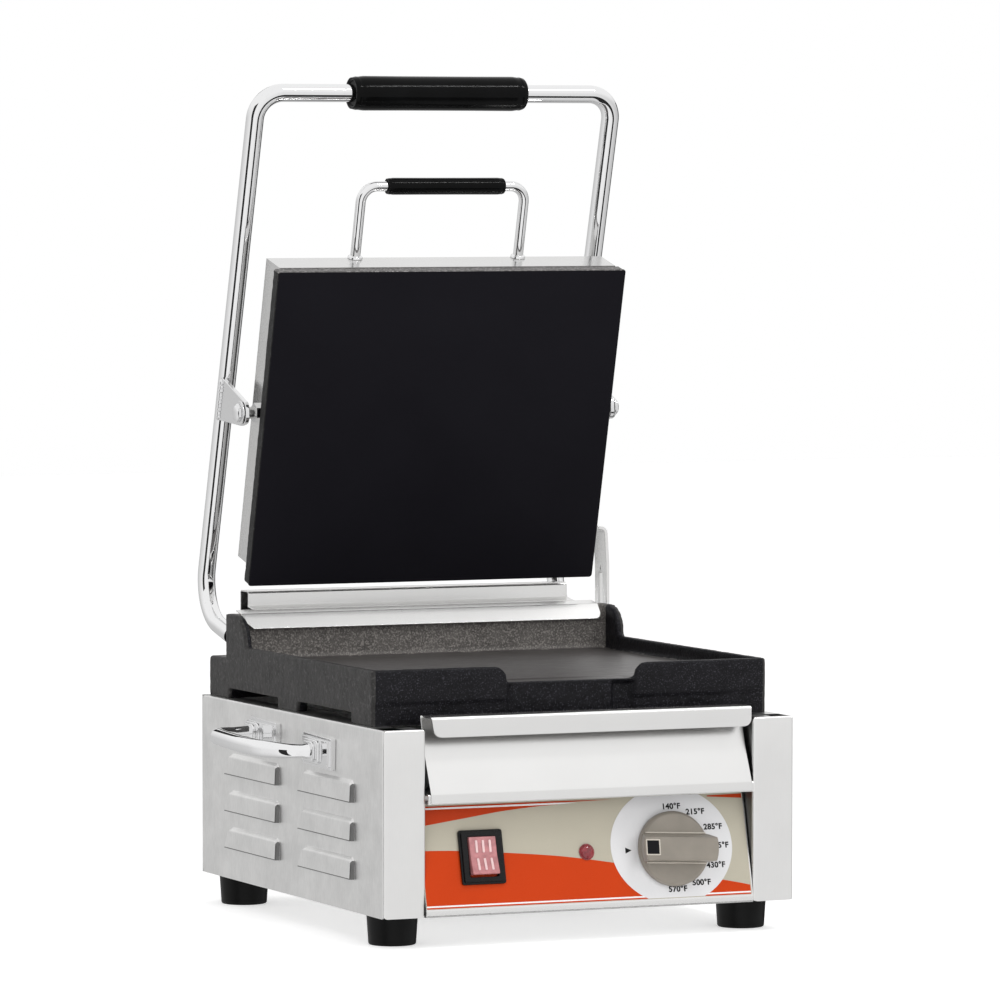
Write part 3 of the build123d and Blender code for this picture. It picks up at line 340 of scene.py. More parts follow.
def folded(name, corners, radii, thickness, x0, x1, material):
    """A folded sheet: (y, z) corners of one face with bend radii; the other face is to their left."""
    path = rounded_path([(y, z, 0) for y, z in corners], radii, radians(12))
    other = []
    for index, point in enumerate(path):
        before = path[max(index - 1, 0)]
        after = path[min(index + 1, len(path) - 1)]
        along_in = (point - before).normalized() if index else (after - point).normalized()
        along_out = (after - point).normalized() if index < len(path) - 1 else along_in
        left_in = Vector((-along_in.y, along_in.x, 0))
        left_out = Vector((-along_out.y, along_out.x, 0))
        share = 1 + left_in.dot(left_out)
        other.append(point + (left_in + left_out) / share * thickness)
    outline = path + list(reversed(other))
    count = len(outline)
    points = [at(x0, p.x, p.y) for p in outline] + [at(x1, p.x, p.y) for p in outline]
    faces = ring_faces(2, count)
    half = len(path)
    for start in (0, count):
        for index in range(half - 1):
            a = start + index
            b = start + count - 1 - index
            faces.append((a, a + 1, b - 1, b))
    return soften(build(name, points, faces, material), FOLD_EDGE, 2, 50)


# Materials


def math_node(tree, operation, first, second=None, third=None):
    """The output of one arithmetic node."""
    node = tree.nodes.new("ShaderNodeMath")
    node.operation = operation
    for entry, value in zip(node.inputs, (first, second, third)):
        if hasattr(value, "is_output"):
            tree.links.new(value, entry)
        elif value is not None:
            entry.default_value = value
    return node.outputs[0]


def spread_of(color, share):
    """A colour's darker and lighter neighbours."""
    low = tuple(c * (1 - share) for c in color)
    high = tuple(min(1.0, c * (1 + share)) for c in color)
    return low, high


class Surface:
    """A node material with one Principled shader and short ways to feed it."""

    def __init__(self, name, color, metallic=0.0, roughness=0.5, specular=0.5):
        self.material = bpy.data.materials.new(name)
        self.material.use_nodes = True
        self.tree = self.material.node_tree
        self.tree.nodes.clear()
        self.shader = self.tree.nodes.new("ShaderNodeBsdfPrincipled")
        output = self.tree.nodes.new("ShaderNodeOutputMaterial")
        self.join(self.shader.outputs["BSDF"], output.inputs["Surface"])
        self.set("Base Color", (*color, 1))
        self.set("Metallic", metallic)
        self.set("Roughness", roughness)
        self.set("Specular IOR Level", specular)
        self.place = self.tree.nodes.new("ShaderNodeTexCoord").outputs["Object"]
        self.bumps = None

    def join(self, output, entry):
        self.tree.links.new(output, entry)

    def set(self, entry, value):
        self.shader.inputs[entry].default_value = value

    def stretched(self, x, y, z):
        """The place in the model, scaled on each axis."""
        mapping = self.tree.nodes.new("ShaderNodeMapping")
        mapping.inputs["Scale"].default_value = (x, y, z)
        self.join(self.place, mapping.inputs["Vector"])
        return mapping.outputs["Vector"]

    def noise(self, size, detail=3.0, rough=0.55, vector=None):
        """Cloudy noise whose patches are about size metres wide."""
        node = self.tree.nodes.new("ShaderNodeTexNoise")
        node.inputs["Scale"].default_value = 1 / size
        node.inputs["Detail"].default_value = detail
        node.inputs["Roughness"].default_value = rough
        node.inputs["Distortion"].default_value = 0.0
        self.join(vector or self.place, node.inputs["Vector"])
        return node.outputs["Fac"]

    def cells(self, size):
        """Distance to the nearest of many points about size metres apart."""
        node = self.tree.nodes.new("ShaderNodeTexVoronoi")
        node.inputs["Scale"].default_value = 1 / size
        self.join(self.place, node.inputs["Vector"])
        return node.outputs["Distance"]

    def ramp(self, value, low, high, start=0.3, end=0.7):
        """Maps a value to colours or greys between two stops."""
        node = self.tree.nodes.new("ShaderNodeValToRGB")
        first, last = node.color_ramp.elements
        first.position = start
        last.position = end
        first.color = (*low, 1) if hasattr(low, "__len__") else (low, low, low, 1)
        last.color = (*high, 1) if hasattr(high, "__len__") else (high, high, high, 1)
        self.join(value, node.inputs["Fac"])
        return node.outputs["Color"]

    def mixed(self, share, first, second):
        """Two colours mixed by a share."""
        node = self.tree.nodes.new("ShaderNodeMix")
        node.data_type = "RGBA"
        self.join(share, node.inputs["Factor"])
        for socket, value in ((node.inputs[6], first), (node.inputs[7], second)):
            if hasattr(value, "is_output"):
                self.join(value, socket)
            else:
                socket.default_value = (*value, 1)
        return node.outputs[2]

    def blended(self, first, share, second):
        """Two values added, the first by its share and the second by the rest."""
        low = math_node(self.tree, "MULTIPLY", first, share)
        high = math_node(self.tree, "MULTIPLY", second, 1 - share)
        return math_node(self.tree, "ADD", low, high)

    def color(self, output):
        self.join(output, self.shader.inputs["Base Color"])

    def roughness(self, output):
        self.join(output, self.shader.inputs["Roughness"])

    def bump(self, height, depth, strength=1.0):
        """Adds a bump of about depth metres."""
        node = self.tree.nodes.new("ShaderNodeBump")
        node.inputs["Strength"].default_value = strength
        node.inputs["Distance"].default_value = depth
        self.join(height, node.inputs["Height"])
        if self.bumps:
            self.join(self.bumps, node.inputs["Normal"])
        self.bumps = node.outputs["Normal"]
        self.join(self.bumps, self.shader.inputs["Normal"])


def brushed_steel(name, tone, grain, rough, cloud=0.04, tint=(1.0, 0.995, 0.985), patch=0.035):
    """Brushed stainless steel. grain is the scale of the brushing on each axis."""
    light = tuple(tone * t for t in tint)
    dark = tuple((tone - cloud) * t for t in tint)
    steel = Surface(name, light, 1.0, rough)
    brushing = steel.noise(0.0006, 3.0, 0.6, steel.stretched(*grain))
    patches = steel.noise(patch, 4.0, 0.6)
    both = steel.blended(brushing, 0.35, patches)
    steel.color(steel.ramp(both, dark, light, 0.36, 0.64))
    steel.roughness(steel.ramp(patches, rough - 0.002, rough + 0.003, 0.36, 0.64))
    return steel.material


def chrome_plate(name, tone=0.84, rough=0.035):
    """Polished chrome with faint ripples and the odd mark."""
    chrome = Surface(name, (tone, tone, tone * 1.005), 1.0, rough)
    ripple = chrome.noise(0.011, 2.0, 0.5)
    marks = chrome.noise(0.0016, 3.0, 0.6)
    chrome.color(chrome.ramp(marks, (tone - 0.05,) * 3, (tone, tone, tone * 1.005), 0.25, 0.42))
    chrome.roughness(chrome.ramp(marks, rough + 0.07, rough, 0.28, 0.42))
    chrome.bump(ripple, 0.00004, 0.2)
    return chrome.material


def cast_iron(name, tone, grit, rough, painted_glint_tone=0.0, cover=0.3, specular=0.3, tint=(1.0, 0.98, 0.98)):
    """Seasoned sand-cast iron: a mottled, grainy skin, with painted glints: lighter specks in the base
    colour. cover is the share of it that glints.
    """
    dark = tuple(tone * 0.5 * t for t in tint)
    light = tuple(tone * 1.5 * t for t in tint)
    iron = Surface(name, light, 0.1, rough, specular)
    patches = iron.noise(0.011, 5.0, 0.7)
    sand = iron.noise(grit, 4.0, 0.7)
    pits = iron.cells(grit * 1.7)
    both = iron.blended(patches, 0.45, sand)
    base = iron.ramp(both, dark, light, 0.36, 0.64)
    # Painted glints: lighter specks mixed into the base colour where the noise is high.
    if painted_glint_tone:
        start = 0.66 - cover * 0.4
        painted_glints = iron.ramp(iron.noise(grit * 0.9, 2.0, 0.5), 0.0, 1.0, start, start + 0.1)
        base = iron.mixed(painted_glints, base, tuple(painted_glint_tone * t for t in tint))
    iron.color(base)
    iron.roughness(iron.ramp(sand, rough - 0.12, rough + 0.1))
    iron.bump(sand, grit * 0.3, 0.6)
    iron.bump(pits, grit * 0.25, 0.35)
    return iron.material


def cooking_plate():
    """The machined and seasoned cooking surface: satin, with fine scuffs and a warm bloom."""
    plate = Surface("griddle_plate", (0.075, 0.07, 0.07), 0.35, 0.36, 0.5)
    bloom = plate.noise(0.06, 4.0, 0.6)
    scuffs = plate.noise(0.0022, 4.0, 0.7, plate.stretched(0.18, 1, 1))
    both = plate.blended(bloom, 0.6, scuffs)
    plate.color(plate.ramp(both, (0.074, 0.067, 0.066), (0.118, 0.109, 0.107)))
    plate.roughness(plate.ramp(scuffs, 0.3, 0.46))
    plate.bump(scuffs, 0.00008, 0.4)
    return plate.material


def lid_face():
    """The lid's smooth black cooking face."""
    face = Surface("lid_face", (0.009, 0.0085, 0.011), 0.0, 0.42, 0.02)
    bloom = face.noise(0.07, 3.0, 0.5)
    fine = face.noise(0.0014, 3.0, 0.6)
    face.color(face.ramp(bloom, (0.0083, 0.0078, 0.0102), (0.0096, 0.0091, 0.0118)))
    face.roughness(face.ramp(fine, 0.38, 0.5))
    face.bump(fine, 0.00003, 0.25)
    return face.material


def rubber(name, tone, grain, rough, specular=0.5):
    """Satin black rubber or moulded sleeve with a fine grain."""
    black = Surface(name, (tone, tone * 1.03, tone * 1.08), 0.0, rough, specular)
    fine = black.noise(grain, 3.0, 0.6)
    patches = black.noise(0.02, 3.0, 0.6)
    black.color(black.ramp(patches, (tone * 0.8,) * 3, (tone * 1.25, tone * 1.28, tone * 1.35)))
    black.roughness(black.ramp(fine, rough - 0.06, rough + 0.08))
    black.bump(fine, grain * 0.12, 0.3)
    return black.material


def moulded(name, color, rough, specular=0.5):
    """Moulded plastic: fine texture and slight colour variation."""
    plastic = Surface(name, color, 0.0, rough, specular)
    fine = plastic.noise(0.0006, 2.0, 0.5)
    patches = plastic.noise(0.015, 3.0, 0.5)
    plastic.color(plastic.ramp(patches, *spread_of(color, 0.08)))
    plastic.roughness(plastic.ramp(fine, max(0.02, rough - 0.05), rough + 0.06))
    plastic.bump(fine, 0.00002, 0.25)
    return plastic.material


def ink(name, color):
    """Printed ink under a satin film: a faint screen grain."""
    print_ink = Surface(name, color, 0.0, 0.34, 0.12)
    grain = print_ink.noise(0.0005, 2.0, 0.6)
    wash = print_ink.noise(0.03, 3.0, 0.5)
    both = print_ink.blended(grain, 0.4, wash)
    print_ink.color(print_ink.ramp(both, *spread_of(color, 0.03)))
    print_ink.roughness(print_ink.ramp(grain, 0.26, 0.36))
    return print_ink.material


def glowing_plastic(name, color, rough, passing, scatter=0.2):
    """Translucent coloured plastic for the rocker and the lamp."""
    clear = Surface(name, color, 0.0, rough, 0.6)
    clear.set("Transmission Weight", passing)
    clear.set("IOR", 1.49)
    clear.set("Coat Weight", 0.3)
    clear.set("Coat Roughness", 0.08)
    depth = clear.noise(0.004, 3.0, 0.6)
    clear.color(clear.ramp(depth, *spread_of(color, scatter)))
    clear.roughness(clear.ramp(clear.noise(0.0008), rough, rough + 0.08))
    return clear.material


SIDE_STEEL = brushed_steel("satin_side_steel", 0.86, (0.5, 0.4, 0.12), 0.40, 0.12, patch=0.022)
FRONT_STEEL = brushed_steel("bright_front_steel", 0.87, (1.0, 1.0, 0.06), 0.30, 0.03)
FOLD_STEEL = brushed_steel("bright_folded_steel", 0.84, (0.05, 1.0, 1.0), 0.27, 0.02)
# Painted shade: a dark steel for the post's inner return, the louvre mouths and the louvres' front ends.
PAINTED_SHADE_STEEL = brushed_steel("painted_shade_steel", 0.20, (1.0, 1.0, 0.06), 0.4, 0.06)
COVER_STEEL = brushed_steel("polished_cover_steel", 0.70, (0.05, 1.0, 1.0), 0.2, 0.03)
ZINC = brushed_steel("zinc_sheet", 0.5, (1.0, 1.0, 1.0), 0.45, 0.12, (0.97, 0.99, 1.0))
SCREW_STEEL = brushed_steel("plain_screw_steel", 0.6, (1.0, 1.0, 1.0), 0.3, 0.1)
SHEATH = brushed_steel("element_sheath_steel", 0.22, (1.0, 1.0, 1.0), 0.5, 0.08, (1.0, 0.93, 0.85))
BRONZE = brushed_steel("sintered_bronze", 0.6, (1.0, 1.0, 1.0), 0.4, 0.1, (1.0, 0.66, 0.34))
COPPER = brushed_steel("copper_tube", 0.7, (1.0, 1.0, 1.0), 0.3, 0.1, (1.0, 0.58, 0.4))
CHROME = chrome_plate("chrome_plate")
CHROME_CAST = chrome_plate("chrome_on_casting", 0.80, 0.08)
IRON_SIDE = cast_iron("cast_iron_sides", 0.034, 0.0022, 0.55, 0.075, 0.2, 0.25, (1.0, 0.96, 0.95))
IRON_FRONT = cast_iron("cast_iron_front", 0.0085, 0.0011, 0.42, 0.045, 0.22, 0.15, (0.95, 0.92, 1.12))
IRON_WALL = cast_iron("cast_iron_splash_wall", 0.112, 0.0011, 0.5, 0.26, 0.36, 0.3, (1.04, 0.97, 0.91))
# Painted shade and painted light: the lid's edge iron as a dark copy for the side edges and a light copy for
# the top edge.
IRON_EDGE_PAINTED_SHADE = cast_iron("cast_iron_lid_edge_painted_shade", 0.012, 0.0012, 0.5, 0.05, 0.15, 0.2)
IRON_TOP_PAINTED_LIGHT = cast_iron("cast_iron_lid_top_painted_light", 0.09, 0.0014, 0.45, 0.28, 0.35, 0.4, (1.0, 0.95, 0.94))
PLATE = cooking_plate()
LID_FACE = lid_face()
GRIP_BLACK = rubber("grip_sleeve", 0.0028, 0.0008, 0.11, 0.07)
FOOT_BLACK = rubber("foot_rubber", 0.0055, 0.0006, 0.4, 0.12)
BLACK_PLASTIC = moulded("black_moulding", (0.005, 0.005, 0.0055), 0.25, 0.25)
POINTER_BLACK = moulded("pointer_moulding", (0.004, 0.004, 0.005), 0.4, 0.15)
KNOB_TONE = (0.235, 0.212, 0.18)
KNOB_GREY = moulded("knob_moulding", KNOB_TONE, 0.34, 0.35)
KNOB_TRIM = moulded("knob_trim", (0.52, 0.48, 0.42), 0.3, 0.5)
PALE_NYLON = moulded("pale_nylon", (0.7, 0.69, 0.63), 0.5)
BEIGE = ink("beige_ink", (0.45, 0.42, 0.34))
ORANGE = ink("orange_ink", (0.53, 0.046, 0.005))
ORANGE_DEEP = ink("deep_orange_ink", (0.46, 0.042, 0.008))
WHITE_INK = ink("white_ink", (0.82, 0.82, 0.82))
DIAL_INK = ink("dial_ink", (0.68, 0.68, 0.69))
BLACK_INK = ink("black_ink", (0.012, 0.012, 0.012))
ROCKER_RED = glowing_plastic("rocker_plastic", (0.52, 0.2, 0.21), 0.16, 0.15)
# Painted highlight: a paler pink for the rocker's ribs.
ROCKER_RIB_PAINTED_HIGHLIGHT = moulded("rocker_rib_painted_highlight", (0.78, 0.56, 0.56), 0.3)
LAMP_RED = glowing_plastic("lamp_lens_plastic", (0.27, 0.024, 0.034), 0.08, 0.2, 0.35)


# Housing


def spaced(start, *stops):
    """Positions from a start through stops, each given as (position, spacing)."""
    values = [start]
    for position, spacing in stops:
        low = values[-1]
        count = max(1, round(abs(position - low) / spacing))
        values += [low + (position - low) * index / count for index in range(1, count + 1)]
    return values


def louvre_height(y, z):
    """How far a pressed louvre stands out of the side panel, from its place there."""
    for y0, y1 in LOUVRE_COLUMNS:
        for z0 in LOUVRE_BOTTOMS:
            if not (y0 < y < y1 and z0 <= z < z0 + LOUVRE_H):
                continue
            end = min(y - y0, y1 - y - LOUVRE_SLANT * (z - z0) / LOUVRE_H)
            top = z0 + LOUVRE_H - z
            if end <= 0:
                return 0.0
            inside = min(end, top)
            if end < LOUVRE_CORNER and top < LOUVRE_CORNER:
                inside = LOUVRE_CORNER - hypot(LOUVRE_CORNER - end, LOUVRE_CORNER - top)
            edge = smooth_step(inside / LOUVRE_END)
            hood = 0.78 * smooth_step(top / LOUVRE_ROLL) + 0.22 * top / LOUVRE_H
            return LOUVRE_OUT * edge * hood
    return 0.0


def side_plan():
    """The panel's plan, rear edge to post return: place, outward direction, on the side or not."""
    along = [POST_BEND, 0.0022, 0.003]
    for y0, y1 in LOUVRE_COLUMNS:
        along += spaced(y0 - 0.001, (y0 + 0.009, 0.0006), (y1 - 0.014, 0.006), (y1 + 0.001, 0.0006))
    rear = BACK - FRONT - SHEET
    along += [rear - share * POST_CORNER for share in (1.0, 0.7, 0.45, 0.25, 0.1, 0.0)]
    plan = [(HALF_W, y, 1.0, 0.0, True) for y in reversed(along)]
    quarter = [pi / 2 * index / 7 for index in range(1, 8)]
    for angle in quarter:
        x = HALF_W - POST_BEND + POST_BEND * cos(angle)
        plan.append((x, POST_BEND - POST_BEND * sin(angle), cos(angle), -sin(angle), False))
    inner = HALF_W - POST_W
    face = (HALF_W - 0.0022, HALF_W - 0.003, HALF_W - 0.012, inner + 0.0035, inner + POST_BEND)
    plan += [(x, 0.0, 0.0, -1.0, False) for x in face]
    for angle in quarter:
        x = inner + POST_BEND - POST_BEND * sin(angle)
        plan.append((x, POST_BEND - POST_BEND * cos(angle), -sin(angle), -cos(angle), False))
    plan.append((inner, POST_RETURN, -1.0, 0.0, False))
    return plan


def corner_drop(x, y):
    """How far the panel's top and bottom are rounded off at its rear edge and at the post's edges."""
    distance = min(BACK - FRONT - SHEET - y, x - (HALF_W - POST_W), max(HALF_W - x, y))
    short = max(0.0, min(POST_CORNER, POST_CORNER - distance))
    return POST_CORNER - (POST_CORNER**2 - short**2) ** 0.5


def side_levels():
    """The side panel's rows: height and how far the top bend has turned inwards."""
    heights = [SKIN_LOW]
    for z0 in LOUVRE_BOTTOMS:
        heights += [z0 - 0.00004]
        heights += spaced(z0, (z0 + LOUVRE_H + 0.0006, 0.0006))
    heights.append(SKIN_TOP - TOP_BEND)
    levels = [(z, 0.0) for z in heights]
    for index in range(1, 6):
        angle = pi / 2 * index / 5
        levels.append((SKIN_TOP - TOP_BEND + TOP_BEND * sin(angle), TOP_BEND * (1 - cos(angle))))
    return levels


def panel_material(face):
    """A side panel face's material: 0 the side, 1 the post's front, 2 painted shade on the post's return and
    the openings.
    """
    centre = face.center
    out = abs(centre.x) - HALF_W
    behind_front = centre.y > FRONT + POST_BEND * 0.9
    if not behind_front:
        return 1
    if out <= -0.001:
        return 2
    # Painted shade: the louvres' front ends and the faces at their mouths take the dark steel.
    at_end = any(y0 - 0.0002 < centre.y - FRONT < y0 + LOUVRE_END for y0, _ in LOUVRE_COLUMNS)
    at_mouth = any(z0 < centre.z < z0 + 0.0007 for z0 in LOUVRE_BOTTOMS)
    return 2 if at_end and out > 0.0003 or at_mouth and out > 0.001 else 0


def side_panel(name, side, node):
    """A side panel's skin with pressed louvres, its front post and its top flange."""
    plan = side_plan()
    levels = side_levels()
    points = []
    heights = []
    for x, y, nx, ny, flat in plan:
        drop = corner_drop(x, y)
        for z, inward in levels:
            out = louvre_height(y, z) if flat else 0.0
            heights.append(out)
            height = min(max(z, SKIN_LOW + drop), SKIN_TOP - drop)
            points.append(at(side * (x + nx * (out - inward)), y - ny * inward, height))
    rows = len(levels)
    faces = []
    for face in grid_faces(len(plan), rows):
        low, above, high = face[0], face[1], face[2]
        row = low % rows
        mouth = levels[row + 1][0] - levels[row][0] < 0.0001
        if mouth and min(heights[above], heights[high]) > 0.0008:
            continue
        faces.append((low, above, high, face[3]) if side > 0 else (face[3], high, above, low))
    mesh = bpy.data.meshes.new(name)
    mesh.from_pydata([tuple(p) for p in points], [], faces)
    for material in (SIDE_STEEL, FRONT_STEEL, PAINTED_SHADE_STEEL):
        mesh.materials.append(material)
    for face in mesh.polygons:
        face.material_index = panel_material(face)
    skin = placed(name, mesh)
    solid = skin.modifiers.new("thickness", "SOLIDIFY")
    solid.thickness = SHEET * 0.8
    solid.offset = -1
    inside = HALF_W - TOP_BEND
    depth = BACK - FRONT - SHEET - POST_CORNER
    inner = HALF_W - POST_W + POST_CORNER
    low_z = SKIN_TOP - SHEET
    flange_end = at(side * (inside - TOP_FLANGE), depth, SKIN_TOP)
    flange = box_between(name, at(side * inside, TOP_BEND, low_z), flange_end)
    cap_end = at(side * inner, POST_RETURN, SKIN_TOP)
    cap = box_between(name, at(side * (inside - 0.001), TOP_BEND, low_z), cap_end)
    whole = joined(name, [skin, flange, cap])
    tidy_normals(whole.data, 30)
    return settle(whole, "base", "side_panel", node)


def box_between(name, low, high):
    """A steel block between two corners, as part of a larger piece."""
    plan = ((low.x, low.y), (high.x, low.y), (high.x, high.y), (low.x, high.y))
    points = [Vector((x, y, z)) for z in (low.z, high.z) for x, y in plan]
    return build(name, points, capped_faces(2, 4), FRONT_STEEL)


def feet():
    """Tapered rubber feet with a rounded lower edge, a step at the top and a screw well."""
    low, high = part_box("feet")
    centre = (low + high) / 2
    rim = 0.0167
    reach = (high - low) / 2 - Vector((1, 1, 0)) * (rim + 0.0001)
    well, well_z, bottom, step_z, top = 0.0062, 0.011, 0.0153, 0.0185, 0.02
    corners = [(0.0, well_z), (well, well_z), (well, 0.0), (bottom, 0.0)]
    corners += [(rim - 0.0002, step_z), (rim, step_z), (rim, top), (0.0, top)]
    profile = rounded_profile(corners, [0, 0.0008, 0.0013, 0.0004, 0, 0.0004])
    spots = [(centre.x + sx * reach.x, centre.y + sy * reach.y, 0) for sx in (-1, 1) for sy in (-1, 1)]
    made = [lathe("foot", profile, Matrix.Translation(spot), FOOT_BLACK) for spot in spots]
    return settle(joined("rubber_feet", made), "base", "foot_rubber", "feet")


# Side handles


def side_handle(name, side, bar_node, plate_node):
    """A bowed forged bar on two stepped mounting plates, chrome plated, its rear end a little higher."""
    plates = []
    half_h = 0.01025
    half_l = 0.0235
    legs = [FRONT + y for y in LEG_YS]
    mount = Vector((side * HALF_W, 0, SIDE_HANDLE_Z))
    outward = frame_of(mount, Vector((0, 1, 0)), Vector((0, 0, 1)), Vector((side, 0, 0)))
    for plate_y, leg in zip(PLATE_YS, legs):
        centre = FRONT + plate_y
        shapes = (
            (block_outline(half_l, half_h, 0.0008, (centre, 0)), 0.0, 0.0036, 0.0004),
            (block_outline(half_l - 0.002, half_h - 0.0018, 0.0008, (centre, 0)), 0.003, 0.0054, 0.0005),
            (block_outline(0.0115, 0.0078, 0.003, (leg, 0)), 0.005, 0.0074, 0.0009),
            (block_outline(0.0085, 0.0066, 0.004, (leg, 0)), 0.007, 0.0092, 0.0009),
        )
        for outline, low, high, edge in shapes:
            plates.append(soften(prism("plate", outline, low, high, outward, CHROME_CAST), edge, 3))
    near = HALF_W + 0.0078
    far = HALF_W + SIDE_HANDLE_REACH
    bow = 0.0035
    plan = (
        (near, legs[0]),
        (near + 0.012, legs[0] + 0.0005),
        (far - bow, legs[0] + 0.022),
        (far, (legs[0] + legs[1]) / 2),
        (far - bow * 0.5, legs[1] - 0.008),
        (near + 0.018, legs[1] - 0.001),
        (near, legs[1]),
    )
    corners = [Vector((side * x, y, SIDE_HANDLE_Z)) for x, y in plan]
    path = rounded_path(corners, (0.02, 0.03, 0.2, 0.011, 0.02), radians(4))

    def thickness(share):
        ends = min(share, 1 - share)
        return 0.0044 + 0.0012 * smooth_step(ends / 0.28) + 0.0010 * (1 - smooth_step(ends / 0.04))

    bar = swept("bar", path, thickness, CHROME, 40)
    whole = joined(name, [bar, *plates])
    pivot = at(0, PLATE_YS[0], SIDE_HANDLE_Z)
    turn = Matrix.Rotation(SIDE_HANDLE_TILT, 4, "X")
    whole.data.transform(Matrix.Translation(pivot) @ turn @ Matrix.Translation(-pivot))
    return settle(whole, "base", "chrome", bar_node, plate_node)


# Control panel


def on_panel(name, outline, low, high, material):
    """A flat shape on the sloping panel, in its own X and up directions."""
    return prism(name, outline, low, high, PANEL, material, 50)


def curve_between(points, steps=10):
    """A smooth line through a few points (Catmull-Rom)."""
    ends = [points[0], *points, points[-1]]
    line = []
    for corners in zip(ends, ends[1:], ends[2:], ends[3:]):
        for index in range(steps):
            t = index / steps
            weights = (2 * t**2 - t - t**3, 2 - 5 * t**2 + 3 * t**3, t + 4 * t**2 - 3 * t**3, t**3 - t**2)
            spots = [sum(w * p[axis] for w, p in zip(weights, corners)) / 2 for axis in (0, 1)]
            line.append(tuple(spots))
    line.append(points[-1])
    return line


DIAL_X = 0.0594
DIAL_V = 0.0006
DIAL_RX = 0.0432
DIAL_RV = 0.0382
PRINT = 0.00006
LOW_LINE_LEFT_END = 0.040
LOW_LINE_RIGHT_START = 0.080


def dial_half(v):
    """Half the dial's width at a height on the panel."""
    share = max(0.0, 1 - ((v - DIAL_V) / DIAL_RV) ** 2)
    return DIAL_RX * share**0.5


def overlay():
    """The beige printed plate."""
    middle = (OVERLAY_LEFT + OVERLAY_HALF_W) / 2
    outline = block_outline((OVERLAY_HALF_W - OVERLAY_LEFT) / 2, OVERLAY_HALF_H, 0.001, (middle, 0))
    plate = on_panel("overlay_plate", outline, 0.0, OVERLAY_T, BEIGE)
    return settle(plate, "base", "printed_panel", "panel_overlay")


def printed(name, outline, material, layer=1):
    """A flat field of print on the overlay; a higher layer lies over a lower one."""
    top = OVERLAY_T + PRINT * layer
    piece = on_panel(name, outline, OVERLAY_T - PRINT, top, material)
    return settle(piece, "base", "printed_panel")


def strip_of(x0, x1, low, high):
    """A rectangle of print."""
    return [(x0, low), (x1, low), (x1, high), (x0, high)]


def panel_print():
    """The printed fields, lines, dial and pointer triangle."""
    left = OVERLAY_LEFT + 0.0002
    right = OVERLAY_HALF_W - 0.0006
    wedge = [(left, 0.0198), (-0.0848, 0.0239), (-0.0579, 0.0275), (-0.0335, 0.0296), (-0.018, 0.0303)]
    printed("orange_wedge", curve_between(wedge) + [(-0.018, 0.0305), (left, 0.0305)], ORANGE_DEEP)
    white_line = [(left, 0.0304), (-0.02, 0.0304), (-0.004, 0.0312), (-0.02, 0.0315), (left, 0.0315)]
    printed("white_top_line", white_line, WHITE_INK, 2)
    orange_line = [(left, 0.0315), (-0.02, 0.0315), (0.02, 0.0321), (-0.02, 0.0325), (left, 0.0325)]
    printed("orange_top_line", orange_line, ORANGE_DEEP, 2)
    field_left = [(left, 0.0042), (-0.0904, 0.0033), (-0.0586, 0.0008), (-0.0198, -0.0031)]
    field_right = [(0.0179, -0.009), (0.0579, -0.0165), (0.0955, -0.0236), (right, -0.0273)]
    low, line, edge = -0.0314, -0.0324, -0.0333
    field = curve_between(field_left + field_right)
    printed("orange_field", field + [(right, low), (left, low)], ORANGE)
    for number, (x0, x1) in enumerate(((left, LOW_LINE_LEFT_END), (LOW_LINE_RIGHT_START, right))):
        printed(f"white_low_line_{number}", strip_of(x0, x1, line, low), WHITE_INK, 2)
        printed(f"orange_low_line_{number}", strip_of(x0, x1, edge, line), ORANGE, 2)
    tip_x = DIAL_X + dial_half(0.0319) + 0.004
    corner = [(tip_x, 0.0314), (right, 0.0296), (right, 0.0325), (tip_x, 0.0321)]
    printed("orange_corner", corner, ORANGE_DEEP)
    printed("dial_ring", dial_outline(), DIAL_INK, 3)
    printed("dial_mark", [(0.0263, 0.0005), (0.0263, -0.0034), (0.0307, -0.0015)], BLACK_INK, 4)


def dial_outline():
    """The dial's ellipse, cut off flat at the plate's top and bottom."""
    top = OVERLAY_HALF_H - 0.0004
    dial = []
    for index in range(120):
        angle = 2 * pi * index / 120
        v = max(-top, min(top, DIAL_V + DIAL_RV * sin(angle)))
        side = 1 if cos(angle) >= 0 else -1
        dial.append((DIAL_X + side * dial_half(v), v))
    following = dial[1:] + dial[:1]
    return [p for p, q in zip(dial, following) if hypot(p[0] - q[0], p[1] - q[1]) > 1e-6]


def dial_label(text, x, v):
    """A temperature on the dial."""
    words = bpy.data.curves.new("label", "FONT")
    words.body = text
    words.size = 0.0051
    words.align_x = "CENTER"
    words.align_y = "CENTER"
    words.extrude = 0.00004
    words.offset = 0.00018
    words.space_character = 1.06
    label = placed("label", words)
    bpy.context.view_layer.update()
    mesh = bpy.data.meshes.new_from_object(label.evaluated_get(bpy.context.evaluated_depsgraph_get()))
    bpy.data.objects.remove(label)
    lift = OVERLAY_T + PRINT * 4
    mesh.transform(PANEL @ Matrix.Translation((x, v, lift)) @ Matrix.Diagonal((1.04, 1.0, 1.0, 1.0)))
    mesh.materials.clear()
    mesh.materials.append(BLACK_INK)
    return settle(placed("dial_label_" + text[:3], mesh), "base", "printed_panel")


def dial_labels():
    for text, x, v in (
        ("140°F", 0.0617, 0.0259),
        ("215°F", 0.0785, 0.0218),
        ("285°F", 0.0901, 0.0115),
        ("355°F", 0.0934, -0.0008),
        ("430°F", 0.0896, -0.0135),
        ("500°F", 0.0781, -0.0244),
        ("570°F", 0.0608, -0.0280),
    ):
        dial_label(text, x, v)


def ring_between(name, outer, inner, low, high, matrix, material):
    """A frame between an outer and an inner outline with the same number of points."""
    count = len(outer)
    points = []
    for outline, height in ((outer, low), (outer, high), (inner, high), (inner, low)):
        points += [matrix @ Vector((x, y, height)) for x, y in outline]
    return build(name, points, ring_faces(4, count, True), material)


